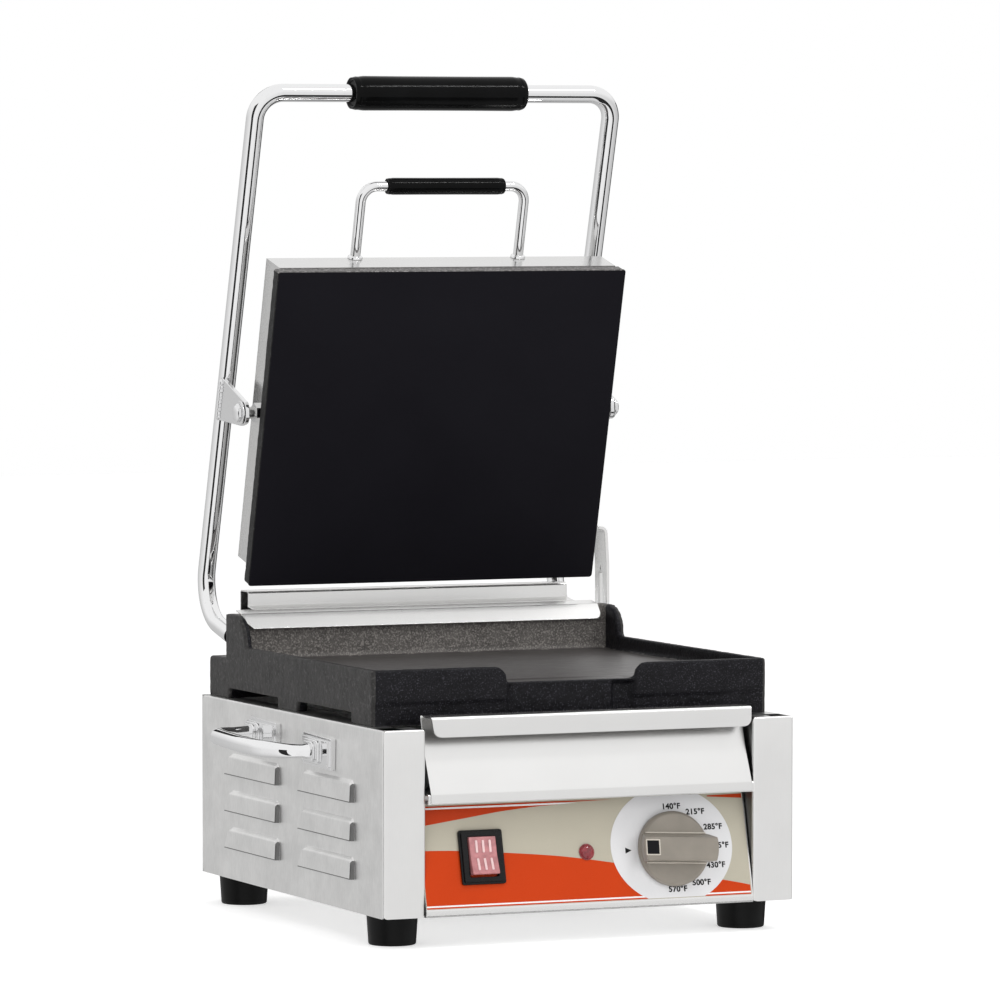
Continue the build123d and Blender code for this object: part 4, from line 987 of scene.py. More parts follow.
def switch():
    """The rocker switch's stepped black bezel."""
    low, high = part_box("switch_housing")
    centre = PANEL.inverted() @ ((low + high) / 2)
    x, v = centre.x, -0.0015
    outer = block_outline(0.0152, 0.0176, 0.0016, (x, v))
    lip = block_outline(0.0139, 0.0162, 0.0012, (x, v))
    inner = block_outline(0.0099, 0.0130, 0.0010, (x, v))
    frame_piece = ring_between("bezel", outer, inner, OVERLAY_T, OVERLAY_T + 0.0022, PANEL, BLACK_PLASTIC)
    soften(frame_piece, 0.0006, 3)
    raised = ring_between("lip", lip, inner, OVERLAY_T + 0.002, OVERLAY_T + 0.0035, PANEL, BLACK_PLASTIC)
    soften(raised, 0.0005, 3)
    floor = block_outline(0.0104, 0.0134, 0.001, (x, v))
    well = prism("well", floor, -0.009, -0.007, PANEL, BLACK_PLASTIC)
    around = block_outline(0.0106, 0.0137, 0.001, (x, v))
    wall = ring_between("wall", around, inner, -0.008, OVERLAY_T + 0.001, PANEL, BLACK_PLASTIC)
    whole = joined("switch_bezel", [frame_piece, raised, well, wall])
    return settle(whole, "base", "black_plastic", "switch_housing")


def rocker():
    """The translucent rocker, pressed at its upper half, with three raised ribs on each half, painted a
    paler pink as a painted highlight.
    """
    x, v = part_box("switch_rocker")[0].x + 0.0095, -0.0015
    lean = radians(6)
    place = PANEL @ Matrix.Translation((x, v, 0)) @ Matrix.Rotation(-lean, 4, "X")
    half, root, top = 0.0125, -0.0025, 0.0052
    rise = half * tan(lean)
    corners = [(-half + 0.0015, root, 0), (-half, top + rise, 0), (0, 0.0054, 0)]
    corners += [(half, top + rise, 0), (half - 0.0015, root, 0)]
    outline = [(p.x, p.y) for p in rounded_path(corners, (0.0009, 0.02, 0.0009), radians(8))]
    turned = place @ Matrix.Rotation(pi / 2, 4, "X") @ Matrix.Rotation(pi / 2, 4, "Y")
    body = prism("body", outline, -0.0093, 0.0093, turned, ROCKER_RED)
    soften(body, 0.0005, 3)
    ribs = []
    for column in (-1, 0, 1):
        for half_sign in (-1, 1):
            y = half_sign * half * 0.47
            slope = Matrix.Rotation(half_sign * lean, 4, "X")
            spot = place @ Matrix.Translation((column * 0.0047, y, top + rise * 0.47)) @ slope
            # Painted highlight: the ribs take the paler pink.
            rib = prism("rib", block_outline(0.0008, 0.0040, 0.0006), 0.0, 0.0007, spot, ROCKER_RIB_PAINTED_HIGHLIGHT)
            soften(rib, 0.0002, 2)
            ribs.append(rib)
    return settle(joined("rocker_button", [body, *ribs]), "rocker", "rocker_plastic", "switch_rocker")


def lamp():
    """The pilot lamp's domed lens in its thin ring."""
    low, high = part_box("pilot_lamp_lens")
    place = PANEL @ Matrix.Translation(((low.x + high.x) / 2, -0.0012, OVERLAY_T))
    root, ring, ring_top, dome, rise = 0.0043, 0.0053, 0.0007, 0.0046, 0.0024
    profile = [(0.0, -0.003), (root, -0.003), (root, 0.0), (ring, 0.0), (ring, ring_top)]
    profile += [(dome * cos(a), ring_top + rise * sin(a)) for a in [pi / 2 * k / 12 for k in range(12)]]
    profile.append((0.0, ring_top + rise))
    lens = lathe("lamp_dome", profile, place, LAMP_RED, 64)
    return settle(lens, "base", "lamp_lens", "pilot_lamp_lens")


POINTER_X = -0.0205
POINTER_V = -0.0012
KNOB_TURN = radians(-2.8)


def bar_outline(up, down, reach, count=13):
    """The grip bar's outline: straight flanks between two arcs of a circle."""
    low = -asin(down / reach)
    high = asin(up / reach)
    arc = [low + (high - low) * index / (count - 1) for index in range(count)]
    right = [(reach * cos(a), reach * sin(a)) for a in arc]
    left = [(-x, y) for x, y in reversed(right)]
    return right + left


def knob():
    """The skirt with its flared grip bar, window and edge lines."""
    place = PANEL @ Matrix.Translation((KNOB_PIVOT.x, KNOB_V, 0)) @ Matrix.Rotation(KNOB_TURN, 4, "Z")
    skirt = lathe(
        "skirt",
        rounded_profile(
            [(0.0, 0.001), (0.0245, 0.001), (0.0243, 0.0052), (0.0222, 0.0072), (0.0, 0.0078)],
            [0.0004, 0.0016, 0.002],
        ),
        place,
        KNOB_GREY,
        128,
        25,
    )
    top = 0.0166
    levels = (
        (0.0066, 0.0092, 0.0092, 0.0243),
        (0.0080, 0.0087, 0.0093, 0.0248),
        (0.0152, 0.0060, 0.0097, 0.0262),
        (0.0163, 0.0054, 0.0095, 0.0262),
        (top, 0.0045, 0.0086, 0.0256),
    )
    bar = []
    for height, up, down, reach in levels:
        bar += [place @ Vector((x, v, height)) for x, v in bar_outline(up, down, reach)]
    sides = len(bar) // len(levels)
    faces = ring_faces(len(levels), sides)
    faces.append(tuple(reversed(range(sides))))
    last = (len(levels) - 1) * sides
    faces.append(tuple(range(last, last + sides)))
    grip = build("grip", bar, faces, KNOB_GREY, 25)
    frame_x = POINTER_X
    window = ring_between(
        "window",
        block_outline(0.0050, 0.0052, 0.0006, (frame_x, POINTER_V)),
        block_outline(0.0043, 0.0045, 0.0004, (frame_x, POINTER_V)),
        top - 0.0008,
        top + 0.0002,
        place,
        KNOB_TRIM,
    )
    trims = []
    for side in (-1, 1):
        flank = 0.0098 if side < 0 else 0.0096
        reach = 0.0212
        start = place @ Vector((-reach, side * flank, 0.0074))
        end = place @ Vector((reach, side * flank, 0.0074))
        trims.append(swept("trim", [start.lerp(end, k / 20) for k in range(21)], 0.0005, KNOB_TRIM, 12))
    whole = joined("knob_moulding", [skirt, grip, window, *trims])
    return settle(whole, "knob", "knob_plastic", "control_knob")


def knob_pointer():
    place = PANEL @ Matrix.Translation((KNOB_PIVOT.x, KNOB_V, 0)) @ Matrix.Rotation(KNOB_TURN, 4, "Z")
    outline = block_outline(0.0043, 0.0045, 0.0004, (POINTER_X, POINTER_V))
    insert = prism("pointer_insert", outline, 0.013, 0.01665, place, POINTER_BLACK)
    soften(insert, 0.0003, 2)
    return settle(insert, "knob", "black_plastic", "knob_pointer")


# Front sheet metal


def control_panel():
    """The sloping panel with its bottom lip and top flange, folded from one sheet."""
    low, high = PANEL @ Vector((0, -0.0348, 0)), PANEL @ Vector((0, 0.0348, 0))
    low_y, high_y = low.y - FRONT, high.y - FRONT
    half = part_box("control_panel")[1].x
    corners = [(high_y + 0.010, high.z), (high_y, high.z), (low_y, low.z)]
    corners += [(low_y, SKIN_LOW), (low_y + 0.012, SKIN_LOW)]
    left = min(-half, OVERLAY_LEFT)
    bends = (0.0014, 0.002, 0.0014)
    sheet = folded("control_panel_sheet", corners, bends, SHEET, left, half, FOLD_STEEL)
    return settle(sheet, "base", "bright_steel", "control_panel")


def front_rail():
    """The rail across the front under the tray."""
    low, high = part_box("front_rail")
    back = high.y - FRONT
    face = low.y - FRONT
    corners = [(back, low.z), (back, high.z), (face, high.z), (face, low.z)]
    sheet = folded("front_rail_sheet", corners, (0.001, 0.0016), SHEET, low.x, high.x, FOLD_STEEL)
    return settle(sheet, "base", "bright_steel", "front_rail")


TRAY_FACE_LOW = (0.0076, 0.1236)
TRAY_FACE_STEP = (-0.0036, 0.0985)
TRAY_FACE_TOE = (-0.0038, 0.0924)
TRAY_FACE_HIGH = (0.0140, 0.1476)


def grease_tray():
    """The tray: a sloping face, a pull lip with a rolled edge and rounded corners, and the box behind."""
    low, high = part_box("grease_tray")
    lip = tray_lip(-0.1120, 0.1134, -0.002, 0.1344)
    face_half = 0.1130
    face_corners = [TRAY_FACE_HIGH, TRAY_FACE_LOW, TRAY_FACE_STEP, TRAY_FACE_TOE]
    face = folded("tray_face", face_corners, (0.05, 0.0025), 0.0007, -face_half, face_half, FOLD_STEEL)
    box_half = 0.104
    wall = 0.001
    floor = low.z + 0.0004
    back = high.y - FRONT
    top = 0.137
    walls = [
        box_between("wall", at(-box_half, 0.0036, floor), at(box_half, back, floor + 0.001)),
        box_between("wall", at(-box_half, back - 0.001, floor), at(box_half, back, top)),
    ]
    for side in (-1, 1):
        corners = [(0.0042, floor), (back, floor), (back, top), (0.0118, top)]
        outline = [(y, z) for y, z in corners]
        edge = side * box_half
        walls.append(prism("wall", outline, edge - side * wall, edge, ACROSS, FOLD_STEEL))
    whole = joined("grease_tray_sheet", [face, lip, *walls])
    return settle(whole, "tray", "bright_steel", "grease_tray")


def tray_lip(left, right, lip_y, lip_low):
    """The pull lip: a top run that turns down into a hem with rounded lower corners."""
    top = TRAY_FACE_HIGH[1]
    section = [(TRAY_FACE_HIGH[0], top, 0), (lip_y, top, 0), (lip_y, lip_low, 0)]
    rows = rounded_path(section, (0.0022,), radians(10))
    corner = 0.0052
    rows = rows[:-1] + [Vector((lip_y, lip_low + corner * (1 - k / 8), 0)) for k in range(9)]
    points = []
    columns = spaced(left, (left + 0.006, 0.0008), (right - 0.006, 0.02), (right, 0.0008))
    for x in columns:
        for p in rows:
            below = max(0.0, lip_low + corner - p.y)
            cut = corner - (corner**2 - below**2) ** 0.5 if below < corner else corner
            slant = 0.0022 * max(0.0, min(1.0, (top - p.y) / (top - lip_low)))
            share = (x - left) / (right - left)
            points.append(at(left + cut + slant + share * (right - left - 2 * cut - slant), p.x, p.y))
    count = len(rows)
    faces = []
    for column in range(len(columns) - 1):
        for row in range(count - 1):
            a = column * count + row
            faces.append((a, a + count, a + count + 1, a + 1))
    lip = build("tray_lip", points, faces, FOLD_STEEL, 40)
    thick(lip, SHEET, 1 if lip.data.polygons[0].normal.z < 0 else -1, FOLD_EDGE)
    return lip


CAP_REAR = 0.2002


def splash_cap():
    """The folded steel cap: a sloping lip with its left corner cut and its right corner rounded."""
    low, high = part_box("splash_cap")
    top = 0.1967
    front = (low.y - FRONT, low.z)
    bend_y = 0.277
    half = high.x
    corners = [(0.2866, CAP_REAR - 0.0015), (bend_y, top), (front[0] - 0.0005, front[1])]
    path = rounded_path([(y, z, 0) for y, z in corners], (0.0016,), radians(12))
    lip = path[-1] - path[-2]
    shares = (0.3, 0.5, 0.6, 0.7, 0.78, 0.85, 0.91, 0.96, 1.0)
    rows = path[:-1] + [path[-2] + lip * share for share in shares]
    columns = spaced(-half, (-half + 0.012, 0.0015), (half - 0.012, 0.02), (half, 0.0015))
    points = []
    for x in columns:
        for p in rows:
            drop = max(0.0, (p - path[-2]).dot(lip) / lip.length_squared)
            left = -half + 0.006 * max(0.0, drop - 0.35) / 0.65
            right = half - 0.005 * (1 - (1 - max(0.0, (drop - 0.5) / 0.5) ** 2) ** 0.5)
            share = (x + half) / (2 * half)
            points.append(at(left + share * (right - left), p.x, p.y))
    count = len(rows)
    faces = []
    for column in range(len(columns) - 1):
        for row in range(count - 1):
            a = column * count + row
            faces.append((a, a + 1, a + count + 1, a + count))
    cap = build("cap_sheet", points, faces, FOLD_STEEL, 40)
    thick(cap, 0.001, -1 if cap.data.polygons[0].normal.z > 0 else 1, 0.00025)
    cover_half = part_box("hinge_cover")[1].x
    run = [(0.286, CAP_REAR - 0.0026), (0.299, CAP_REAR - 0.0006)]
    run += [(0.299, CAP_REAR + 0.0004), (0.286, CAP_REAR - 0.0014)]
    tongue = prism("tongue", run, -cover_half, cover_half, ACROSS, FOLD_STEEL)
    whole = joined("splash_cap_sheet", [cap, tongue])
    return settle(whole, "base", "bright_steel", "splash_cap")


def hinge_cover():
    """The open-ended channel over the hinge shaft."""
    low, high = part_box("hinge_cover")
    face = low.y - FRONT
    back = high.y - FRONT
    corners = [(face, CAP_REAR), (face, high.z), (back, high.z), (back, low.z)]
    sheet = folded("hinge_cover_sheet", corners, (0.0022, 0.0022), -0.001, low.x, high.x, FOLD_STEEL)
    return settle(sheet, "base", "bright_steel", "hinge_cover")


def guard_strip():
    """The slotted upright strip, leaning in a little, with a rounded bend at its top."""
    low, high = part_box("guard_strip")
    outer = high.x
    half = (high.y - low.y) / 2
    middle = (high.y + low.y) / 2
    slot_low, slot_high, slot_half = 0.182, 0.218, 0.0025
    section = [(outer, slot_high + 0.004, 0), (outer - 0.0016, high.z, 0), (low.x, high.z, 0)]
    bend = rounded_path(section, (0.0055,), radians(8))
    round_low, round_high = slot_low + slot_half, slot_high - slot_half
    heights = spaced(slot_low, (round_low, 0.0004), (round_high, 0.01), (slot_high, 0.0004))
    rows = [Vector((outer, z, 0)) for z in [low.z, 0.15, *heights]] + bend
    points = []
    for p in rows:
        inside = min(p.y - slot_low, slot_high - p.y)
        short = max(0.0, slot_half - max(0.0, inside))
        gap = max(0.00002, (slot_half**2 - short**2) ** 0.5)
        points += [Vector((p.x, middle + c, p.y)) for c in (-half, -gap, gap, half)]
    faces = []
    for row in range(len(rows) - 1):
        a = row * 4
        faces += [(a, a + 1, a + 5, a + 4), (a + 2, a + 3, a + 7, a + 6)]
        if not (slot_low - 1e-6 <= rows[row].y and rows[row + 1].y <= slot_high + 1e-6):
            faces.append((a + 1, a + 2, a + 6, a + 5))
    strip = build("guard_strip_plate", points, faces, FOLD_STEEL, 40)
    thick(strip, 0.0025, -1 if strip.data.polygons[0].normal.x > 0 else 1, 0.0004)
    return settle(strip, "base", "bright_steel", "guard_strip")


# Griddle casting


def applied(piece):
    """Fixes a piece's modifiers into its mesh."""
    graph = bpy.context.evaluated_depsgraph_get()
    mesh = bpy.data.meshes.new_from_object(piece.evaluated_get(graph))
    piece.modifiers.clear()
    piece.data = mesh
    return piece


def remeshed(name, node, voxel, smoothing):
    """A node's shape as an even, slightly rounded mesh, like a casting."""
    piece = placed(name, frame["nodes"][node].data.copy())
    shape = bmesh.new()
    shape.from_mesh(piece.data)
    bmesh.ops.remove_doubles(shape, verts=shape.verts, dist=1e-6)
    shape.to_mesh(piece.data)
    shape.free()
    voxels = piece.modifiers.new("voxels", "REMESH")
    voxels.mode = "VOXEL"
    voxels.voxel_size = voxel
    relax = piece.modifiers.new("relax", "SMOOTH")
    relax.factor = 0.5
    relax.iterations = smoothing
    applied(piece)
    piece.data.materials.clear()
    return piece


GRIDDLE_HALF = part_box("lower_griddle")[1].x
GRIDDLE_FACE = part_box("lower_griddle")[0].y
PLATE_Z = 0.166
PARTING_Z = 0.155
NOTCH_HALF = 0.045
SPOUT_END = 0.0277


def cast_skin(point, normal):
    """How far the sand-cast skin stands off the ideal face, from its place."""
    if abs(normal.x) > 0.7 and abs(point.x) > GRIDDLE_HALF - 0.002:
        streak = noise.noise(Vector((point.x / 0.02, point.y / 0.006, point.z / 0.01)))
        return 0.00016 * streak + 0.00016 * noise.noise(point / 0.0045) - 0.0001
    return 0.00013 * noise.noise(point / 0.003) + 0.00012 * noise.noise(point / 0.009) - 0.0001


def front_relief(point, normal):
    """How far back the casting's front stands: below its parting line and beside the spout block."""
    if normal.y > -0.5 or point.y > GRIDDLE_FACE + 0.003:
        return 0.0
    lumps = noise.noise(point / 0.0035)
    if abs(point.x) > NOTCH_HALF + 0.0005:
        return smooth_step((PARTING_Z - point.z) / 0.002) * (0.0009 + 0.0003 * lumps)
    top = smooth_step((PLATE_Z - 0.0008 - point.z) / 0.003)
    right = smooth_step((point.x - SPOUT_END) / 0.004)
    left = smooth_step((-0.0412 - point.x) / 0.0015)
    return top * (0.0006 + 0.0004 * lumps + 0.004 * right + 0.0015 * left)


def griddle():
    """The lower casting: grainy outside, a splash wall with bright painted glints and a machined cooking
    plate.
    """
    piece = remeshed("griddle_casting", "lower_griddle", 0.0014, 2)
    mesh = piece.data
    stretch = (GRIDDLE_HALF + 0.0007) / max(vertex.co.x for vertex in mesh.vertices)
    mesh.transform(Matrix.Diagonal((stretch, 1.0, 1.0, 1.0)))
    for material in (IRON_SIDE, PLATE, IRON_WALL, IRON_FRONT):
        mesh.materials.append(material)
    inner = GRIDDLE_HALF - 0.0058
    wall_y = FRONT + 0.273
    front_wall = GRIDDLE_FACE + 0.0055
    moved = []
    for vertex in mesh.vertices:
        point, normal = vertex.co, vertex.normal
        flat = normal.z > 0.85 and abs(point.z - PLATE_Z) < 0.0015
        place = point + normal * (0.0 if flat else cast_skin(point, normal))
        moved.append(place + Vector((0, front_relief(point, normal), 0)))
    for vertex, point in zip(mesh.vertices, moved):
        vertex.co = point
    for face in mesh.polygons:
        centre, normal = face.center, face.normal
        inside = abs(centre.x) < inner and front_wall < centre.y < wall_y - 0.001
        at_wall = centre.y > wall_y - 0.004
        if inside and normal.z > 0.8 and centre.z < PLATE_Z + 0.001:
            face.material_index = 1
        elif abs(centre.x) < inner + 0.003 and at_wall and centre.z > PLATE_Z and normal.y < 0.2:
            face.material_index = 2
        elif abs(centre.x) > GRIDDLE_HALF - 0.002:
            face.material_index = 0
        else:
            face.material_index = 3
        face.use_smooth = True
    return settle(piece, "base", "griddle_iron", "lower_griddle")


# Lid


def lid_plate():
    """The lid's slab: a flat black face and rough cast edges with worn corners; the top edge is painted
    lighter (painted light) and the other edges darker (painted shade).
    """
    outline = []
    half_l = LID_L / 2
    corners = block_outline(LID_HALF_W - 0.0002, half_l - 0.0002, 0.0022, (0, half_l))
    for start, end in zip(corners, corners[1:] + corners[:1]):
        run = hypot(end[0] - start[0], end[1] - start[1])
        count = max(1, round(run / 0.0014))
        for k in range(count):
            outline.append(tuple(a + (b - a) * k / count for a, b in zip(start, end)))
    bend = 0.0009
    levels = [(bend * (1 - sin(a)), -bend * (1 - cos(a))) for a in (0, pi / 8, pi / 4, 3 * pi / 8, pi / 2)]
    levels += [(0.0, -LID_PLATE_T * k / 7) for k in range(1, 7)]
    levels += [(0.0, -LID_PLATE_T)]
    points = []
    count = len(outline)
    for inset, height in levels:
        for x, s in outline:
            pull = Vector((-x / LID_HALF_W, (half_l - s) / half_l, 0))
            by_side = abs(abs(x) - LID_HALF_W) < 0.003
            side = Vector((-1 if x > 0 else 1, 0, 0)) if by_side else Vector((0, 0, 0))
            end = Vector((0, -1 if s > half_l else 1, 0)) if min(s, LID_L - s) < 0.003 else Vector((0, 0, 0))
            inward = (side + end).normalized() if (side + end).length else pull
            rough = 0.0
            if height < -bend:
                place = Vector((x, s, height))
                fine, broad = noise.noise(place / 0.0032), noise.noise(place / 0.013)
                rough = 0.00022 * (1 + fine) + 0.0002 * (1 + broad)
            points.append(LID @ (Vector((x, s, height)) + inward * (inset + rough)))
    faces = ring_faces(len(levels), count)
    faces.append(tuple(range(count)))
    last = (len(levels) - 1) * count
    faces.append(tuple(range(last, last + count)))
    slab = build("lid_slab", points, faces, LID_FACE, 60)
    slab.data.materials.append(IRON_EDGE_PAINTED_SHADE)
    slab.data.materials.append(IRON_TOP_PAINTED_LIGHT)
    # Painted light and shade: edges facing up the lid take the lighter iron, the other edges the darker
    # iron.
    for face in slab.data.polygons:
        flat = abs(face.normal.dot(LID_OUT)) > 0.93
        face.material_index = 0 if flat else 2 if face.normal.dot(LID_UP) > 0.5 else 1
    return settle(slab, "lid", "plate_iron", "upper_plate")


def small_handle():
    """The bail at the lid's end, standing on small collars."""
    half = 0.0596
    radius = 0.0034
    depth = -0.031
    foot, bar = LID_L, LID_L + 0.050
    corners = [(-half, foot, depth), (-half, bar, depth), (half, bar, depth), (half, foot, depth)]
    path = rounded_path([LID @ Vector(c) for c in corners], (0.011, 0.011), radians(5))
    bail = swept("bail", path, radius, CHROME, 36)
    collars = []
    for x in (-half, half):
        place = LID @ Matrix.Translation((x, foot, depth)) @ Matrix.Rotation(-pi / 2, 4, "X")
        turned = [(0.0, 0.0), (0.0052, 0.0), (0.0048, 0.0016), (0.0034, 0.0022), (0.0, 0.0022)]
        profile = rounded_profile(turned, [0.0004, 0.0006, 0.0004])
        collars.append(lathe("collar", profile, place, CHROME, 40))
    return settle(joined("lid_bail", [bail, *collars]), "lid", "chrome", "lid_handle")


def grip_sleeve(name, node, half, radius, rim, body, slot, shift=0.0):
    """A grip with rounded shoulders, a groove near each end and a recessed end rim."""
    low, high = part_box(node)
    centre = (low + high) / 2
    place = Matrix.Translation(centre + Vector((shift, 0, 0))) @ LEAN_X
    bore = radius * 0.52
    side = [
        (bore, half - rim * 0.5),
        (radius * 0.70, half - rim * 0.5),
        (radius * 0.74, half),
        (radius * 0.90, half - rim * 0.12),
        (radius * 0.97, half - rim * 0.9),
        (radius * 0.955, half - rim * 1.15),
        (radius * 0.965, half - rim * 1.4),
        (radius, half - rim * 2.2),
        (radius * 0.992, half * 0.4),
    ]
    corners = side + [(r, -h) for r, h in reversed(side)]
    radii = [0, rim * 0.1, rim * 0.15, rim * 0.5, rim * 0.1, 0, rim * 0.3, 0.01, 0]
    profile = rounded_profile(corners, radii[1:] + list(reversed(radii[1:] + [0]))[:-1] + [0])
    sleeve = lathe(name, profile, place, GRIP_BLACK, 64, 40)
    return settle(sleeve, body, slot, node)


# Handle frame


def handle_frame():
    """The bent tube, drawn as one run of bar."""
    corner = HINGE + LEG_OUT * LEG_LENGTH
    bar = corner + ARM_UP * ARM_LENGTH
    start = HINGE + Vector((0, 0.001, 0.0036))
    points = []
    for side, order in ((-1, (start, corner, bar)), (1, (bar, corner, start))):
        points += [Vector((side * ARM_X, p.y, p.z)) for p in order]
    path = rounded_path(points, (0.030, 0.018, 0.018, 0.030), radians(4))
    tube = swept("handle_tube", path, TUBE_R, CHROME, 48)
    return settle(tube, "arms", "chrome", "handle_frame")


def hinge_hubs():
    """The hubs on the ends of the shaft."""
    made = []
    for side in (-1, 1):
        place = Matrix.Translation((side * (ARM_X - 0.008), HINGE.y, HINGE.z)) @ LEAN_X
        turned = [(0.005, -0.006), (0.0085, -0.006), (0.0085, 0.006), (0.005, 0.006)]
        profile = rounded_profile(turned, [0.001, 0.001])
        profile += [profile[0]]
        made.append(lathe("hub", profile, place, CHROME, 48))
    return settle(joined("hinge_hub_rings", made), "arms", "chrome", "hinge_hubs")


def hinge_shaft():
    """The shaft between the arms, chamfered, with a snap-ring groove near each end."""
    low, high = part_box("hinge_shaft")
    radius = (high.z - low.z) / 2
    half = ARM_X - 0.005
    end = [(0.0, half), (radius - 0.0006, half), (radius, half - 0.0006)]
    inner, outer, depth = half - 0.0042, half - 0.003, 0.0005
    groove = [(radius, outer), (radius - depth, outer), (radius - depth, inner), (radius, inner)]
    profile = end + groove
    profile += [(r, -h) for r, h in reversed(profile)]
    place = Matrix.Translation((0, HINGE.y, HINGE.z)) @ LEAN_X
    shaft = lathe("hinge_shaft_bar", profile, place, SCREW_STEEL, 48)
    return settle(shaft, "arms", "screw_steel", "hinge_shaft")


def weld_bead(start, end, radius, seed):
    """An uneven line of weld between two points."""
    steps = 60
    path = [start.lerp(end, index / steps) for index in range(steps + 1)]

    def size(share):
        ripple = abs(sin(share * pi * 11 + seed))
        wander = noise.noise(Vector((share * 9, seed, 0)))
        ends = smooth_step(min(share, 1 - share) / 0.06)
        return radius * (0.35 + 0.65 * ends) * (0.82 + 0.16 * ripple + 0.18 * wander)

    return swept("weld", path, size, CHROME_CAST, 14)


def brackets():
    """Triangular ears welded to the arms for the lid's pivot bolts."""
    inner = 0.1325
    outer = 0.1355
    corner = HINGE + LEG_OUT * LEG_LENGTH
    pivot = LID_PIVOT
    along = (pivot.z + 0.009 - corner.z) / cos(ARM_LEAN)
    middle = corner + ARM_UP * along
    top = middle + ARM_UP * 0.0155
    bottom = middle - ARM_UP * 0.0155
    turned = frame_of(Vector((0, 0, 0)), Vector((0, 1, 0)), Vector((0, 0, 1)), Vector((1, 0, 0)))
    outline = [
        (top.y, top.z),
        (pivot.y - 0.0075, pivot.z + 0.0065),
        (pivot.y - 0.0085, pivot.z - 0.0065),
        (pivot.y + 0.002, pivot.z - 0.0088),
        (bottom.y, bottom.z),
    ]
    rounded = rounded_outline(outline, (0.001, 0.006, 0.006, 0.006, 0.001))
    made = []
    for side in (-1, 1):
        ear = prism("ear", rounded, side * inner, side * outer, turned, CHROME_CAST)
        soften(ear, 0.0005, 3)
        made.append(ear)
        for x, seed in ((inner - 0.0003, 0.4), (outer + 0.0003, 2.1)):
            lift = LEG_OUT * -0.0048
            start = Vector((side * x, top.y, top.z)) + lift - ARM_UP * 0.001
            end = Vector((side * x, bottom.y, bottom.z)) + lift + ARM_UP * 0.001
            made.append(weld_bead(start, end, 0.0018, seed + side))
    return settle(joined("lid_brackets", made), "arms", "chrome", "pivot_brackets")


def hex_outline(across):
    """A hexagon given by the distance across its flats."""
    reach = across / 2 / cos(pi / 6)
    return [(reach * cos(pi / 6 + pi / 3 * k), reach * sin(pi / 6 + pi / 3 * k)) for k in range(6)]


def pivot_bolts():
    """Bolts with a washer and a domed hexagon head, and a shouldered shank."""
    inner = 0.112
    outer = 0.1359
    made = []
    for side in (-1, 1):
        pivot = Vector((0, LID_PIVOT.y, LID_PIVOT.z))
        place = frame_of(pivot, Vector((0, side, 0)), Vector((0, 0, 1)), Vector((side, 0, 0)))
        top = outer + 0.0012
        washer = rounded_profile([(0.0, outer), (0.008, outer), (0.008, top), (0.0, top)], [0.0004, 0.0004])
        made.append(lathe("washer", washer, place, CHROME_CAST, 48))
        head = prism("head", hex_outline(0.0112), outer + 0.0012, outer + 0.0036, place, CHROME_CAST, 25)
        soften(head, 0.0006, 3)
        made.append(head)
        arch = ((0.0054, 0.0034), (0.0050, 0.0040), (0.0036, 0.0046), (0.0018, 0.0049), (0.0, 0.0050))
        dome = [(radius, outer + rise) for radius, rise in arch]
        made.append(lathe("dome", dome, place, CHROME_CAST, 40))
        turned = [(0.0, inner), (0.004, inner), (0.004, outer), (0.0, outer)]
        shank = rounded_profile(turned, [0.0003, 0.0003])
        made.append(lathe("shank", shank, place, SCREW_STEEL, 36))
    return settle(joined("lid_pivot_bolts", made), "lid", "chrome", "pivot_bolts")


# CAD parts that keep their own mesh


DRESSED = (
    (SIDE_STEEL, ("rear_panel", "bottom_pan")),
    (COVER_STEEL, ("upper_cover",)),
    (ZINC, ("tray_rails", "lower_element_clamp", "upper_element_clamp")),
    (CHROME_CAST, ("pivot_nuts",)),
    (SCREW_STEEL, ("hinge_lugs", "torsion_springs", "thermostat_shaft", "rear_panel_screws", "foot_screws")),
    (SCREW_STEEL, ("side_handle_screws", "griddle_bolts", "guard_strip_screws", "cover_screws")),
    (SHEATH, ("lower_element", "upper_element")),
    (BRONZE, ("hinge_bushes",)),
    (COPPER, ("sensor_bulb",)),
    (PALE_NYLON, ("terminal_block",)),
    (BLACK_PLASTIC, ("pilot_lamp_body", "thermostat_body", "lid_gland", "cable_gland")),
)


def dress_all():
    """Finished materials on the CAD parts that keep their own mesh."""
    for material, nodes in DRESSED:
        for node in nodes:
            mesh = frame["nodes"][node].data
            mesh.materials.clear()
            mesh.materials.append(material)


# Floor, light and camera


def floor_and_light():
    """A pale floor and a white studio: bright all round, with dark flags that only polished metal sees."""
    mesh = bpy.data.meshes.new("floor")
    size = 6.0
    corners = [(x * size, y * size, 0) for x, y in ((-1, -1), (1, -1), (1, 1), (-1, 1))]
    mesh.from_pydata(corners, [], [(0, 1, 2, 3)])
    pale = Surface("pale_floor", (0.93, 0.93, 0.93), 0.0, 0.7, 0.2)
    pale.color(pale.ramp(pale.noise(0.5), (0.92, 0.92, 0.92), (0.95, 0.95, 0.95)))
    pale.set("Emission Color", (1, 1, 1, 1))
    pale.set("Emission Strength", 0.5)
    mesh.materials.append(pale.material)
    floor = placed("floor", mesh)
    floor.visible_glossy = False
    world = bpy.data.worlds.new("studio")
    bpy.context.scene.world = world
    world.use_nodes = True
    studio(world.node_tree)
    area_light("key", (-1.1, -1.6, 1.9), (0, 0, 0.2), 1.3, 12, False)
    area_light("front", (0.9, -2.2, 0.9), (0, 0, 0.15), 1.2, 12, False)
    area_light("top", (0.2, 0.4, 2.4), (0, 0, 0.1), 1.6, 8, False)
    strip = area_light("strip", (0.64, -0.846, 1.673), (0, 0.087, 0.545), 0.7, 5.0, True)
    strip.shape = "RECTANGLE"
    strip.size_y = 0.05


# The dark flags that polished metal sees: heading from +Y towards +X and half width, in degrees,
# and the lowest and highest upward share of the direction.
FLAGS = (
    (-119.0, 13.0, -0.95, 0.3),
    (156.0, 11.0, -0.95, -0.4),
    (6.0, 7.0, 0.28, 0.45),
    (60.0, 12.0, -0.9, 0.2),
)
BRIGHT_HEADING = -140.0


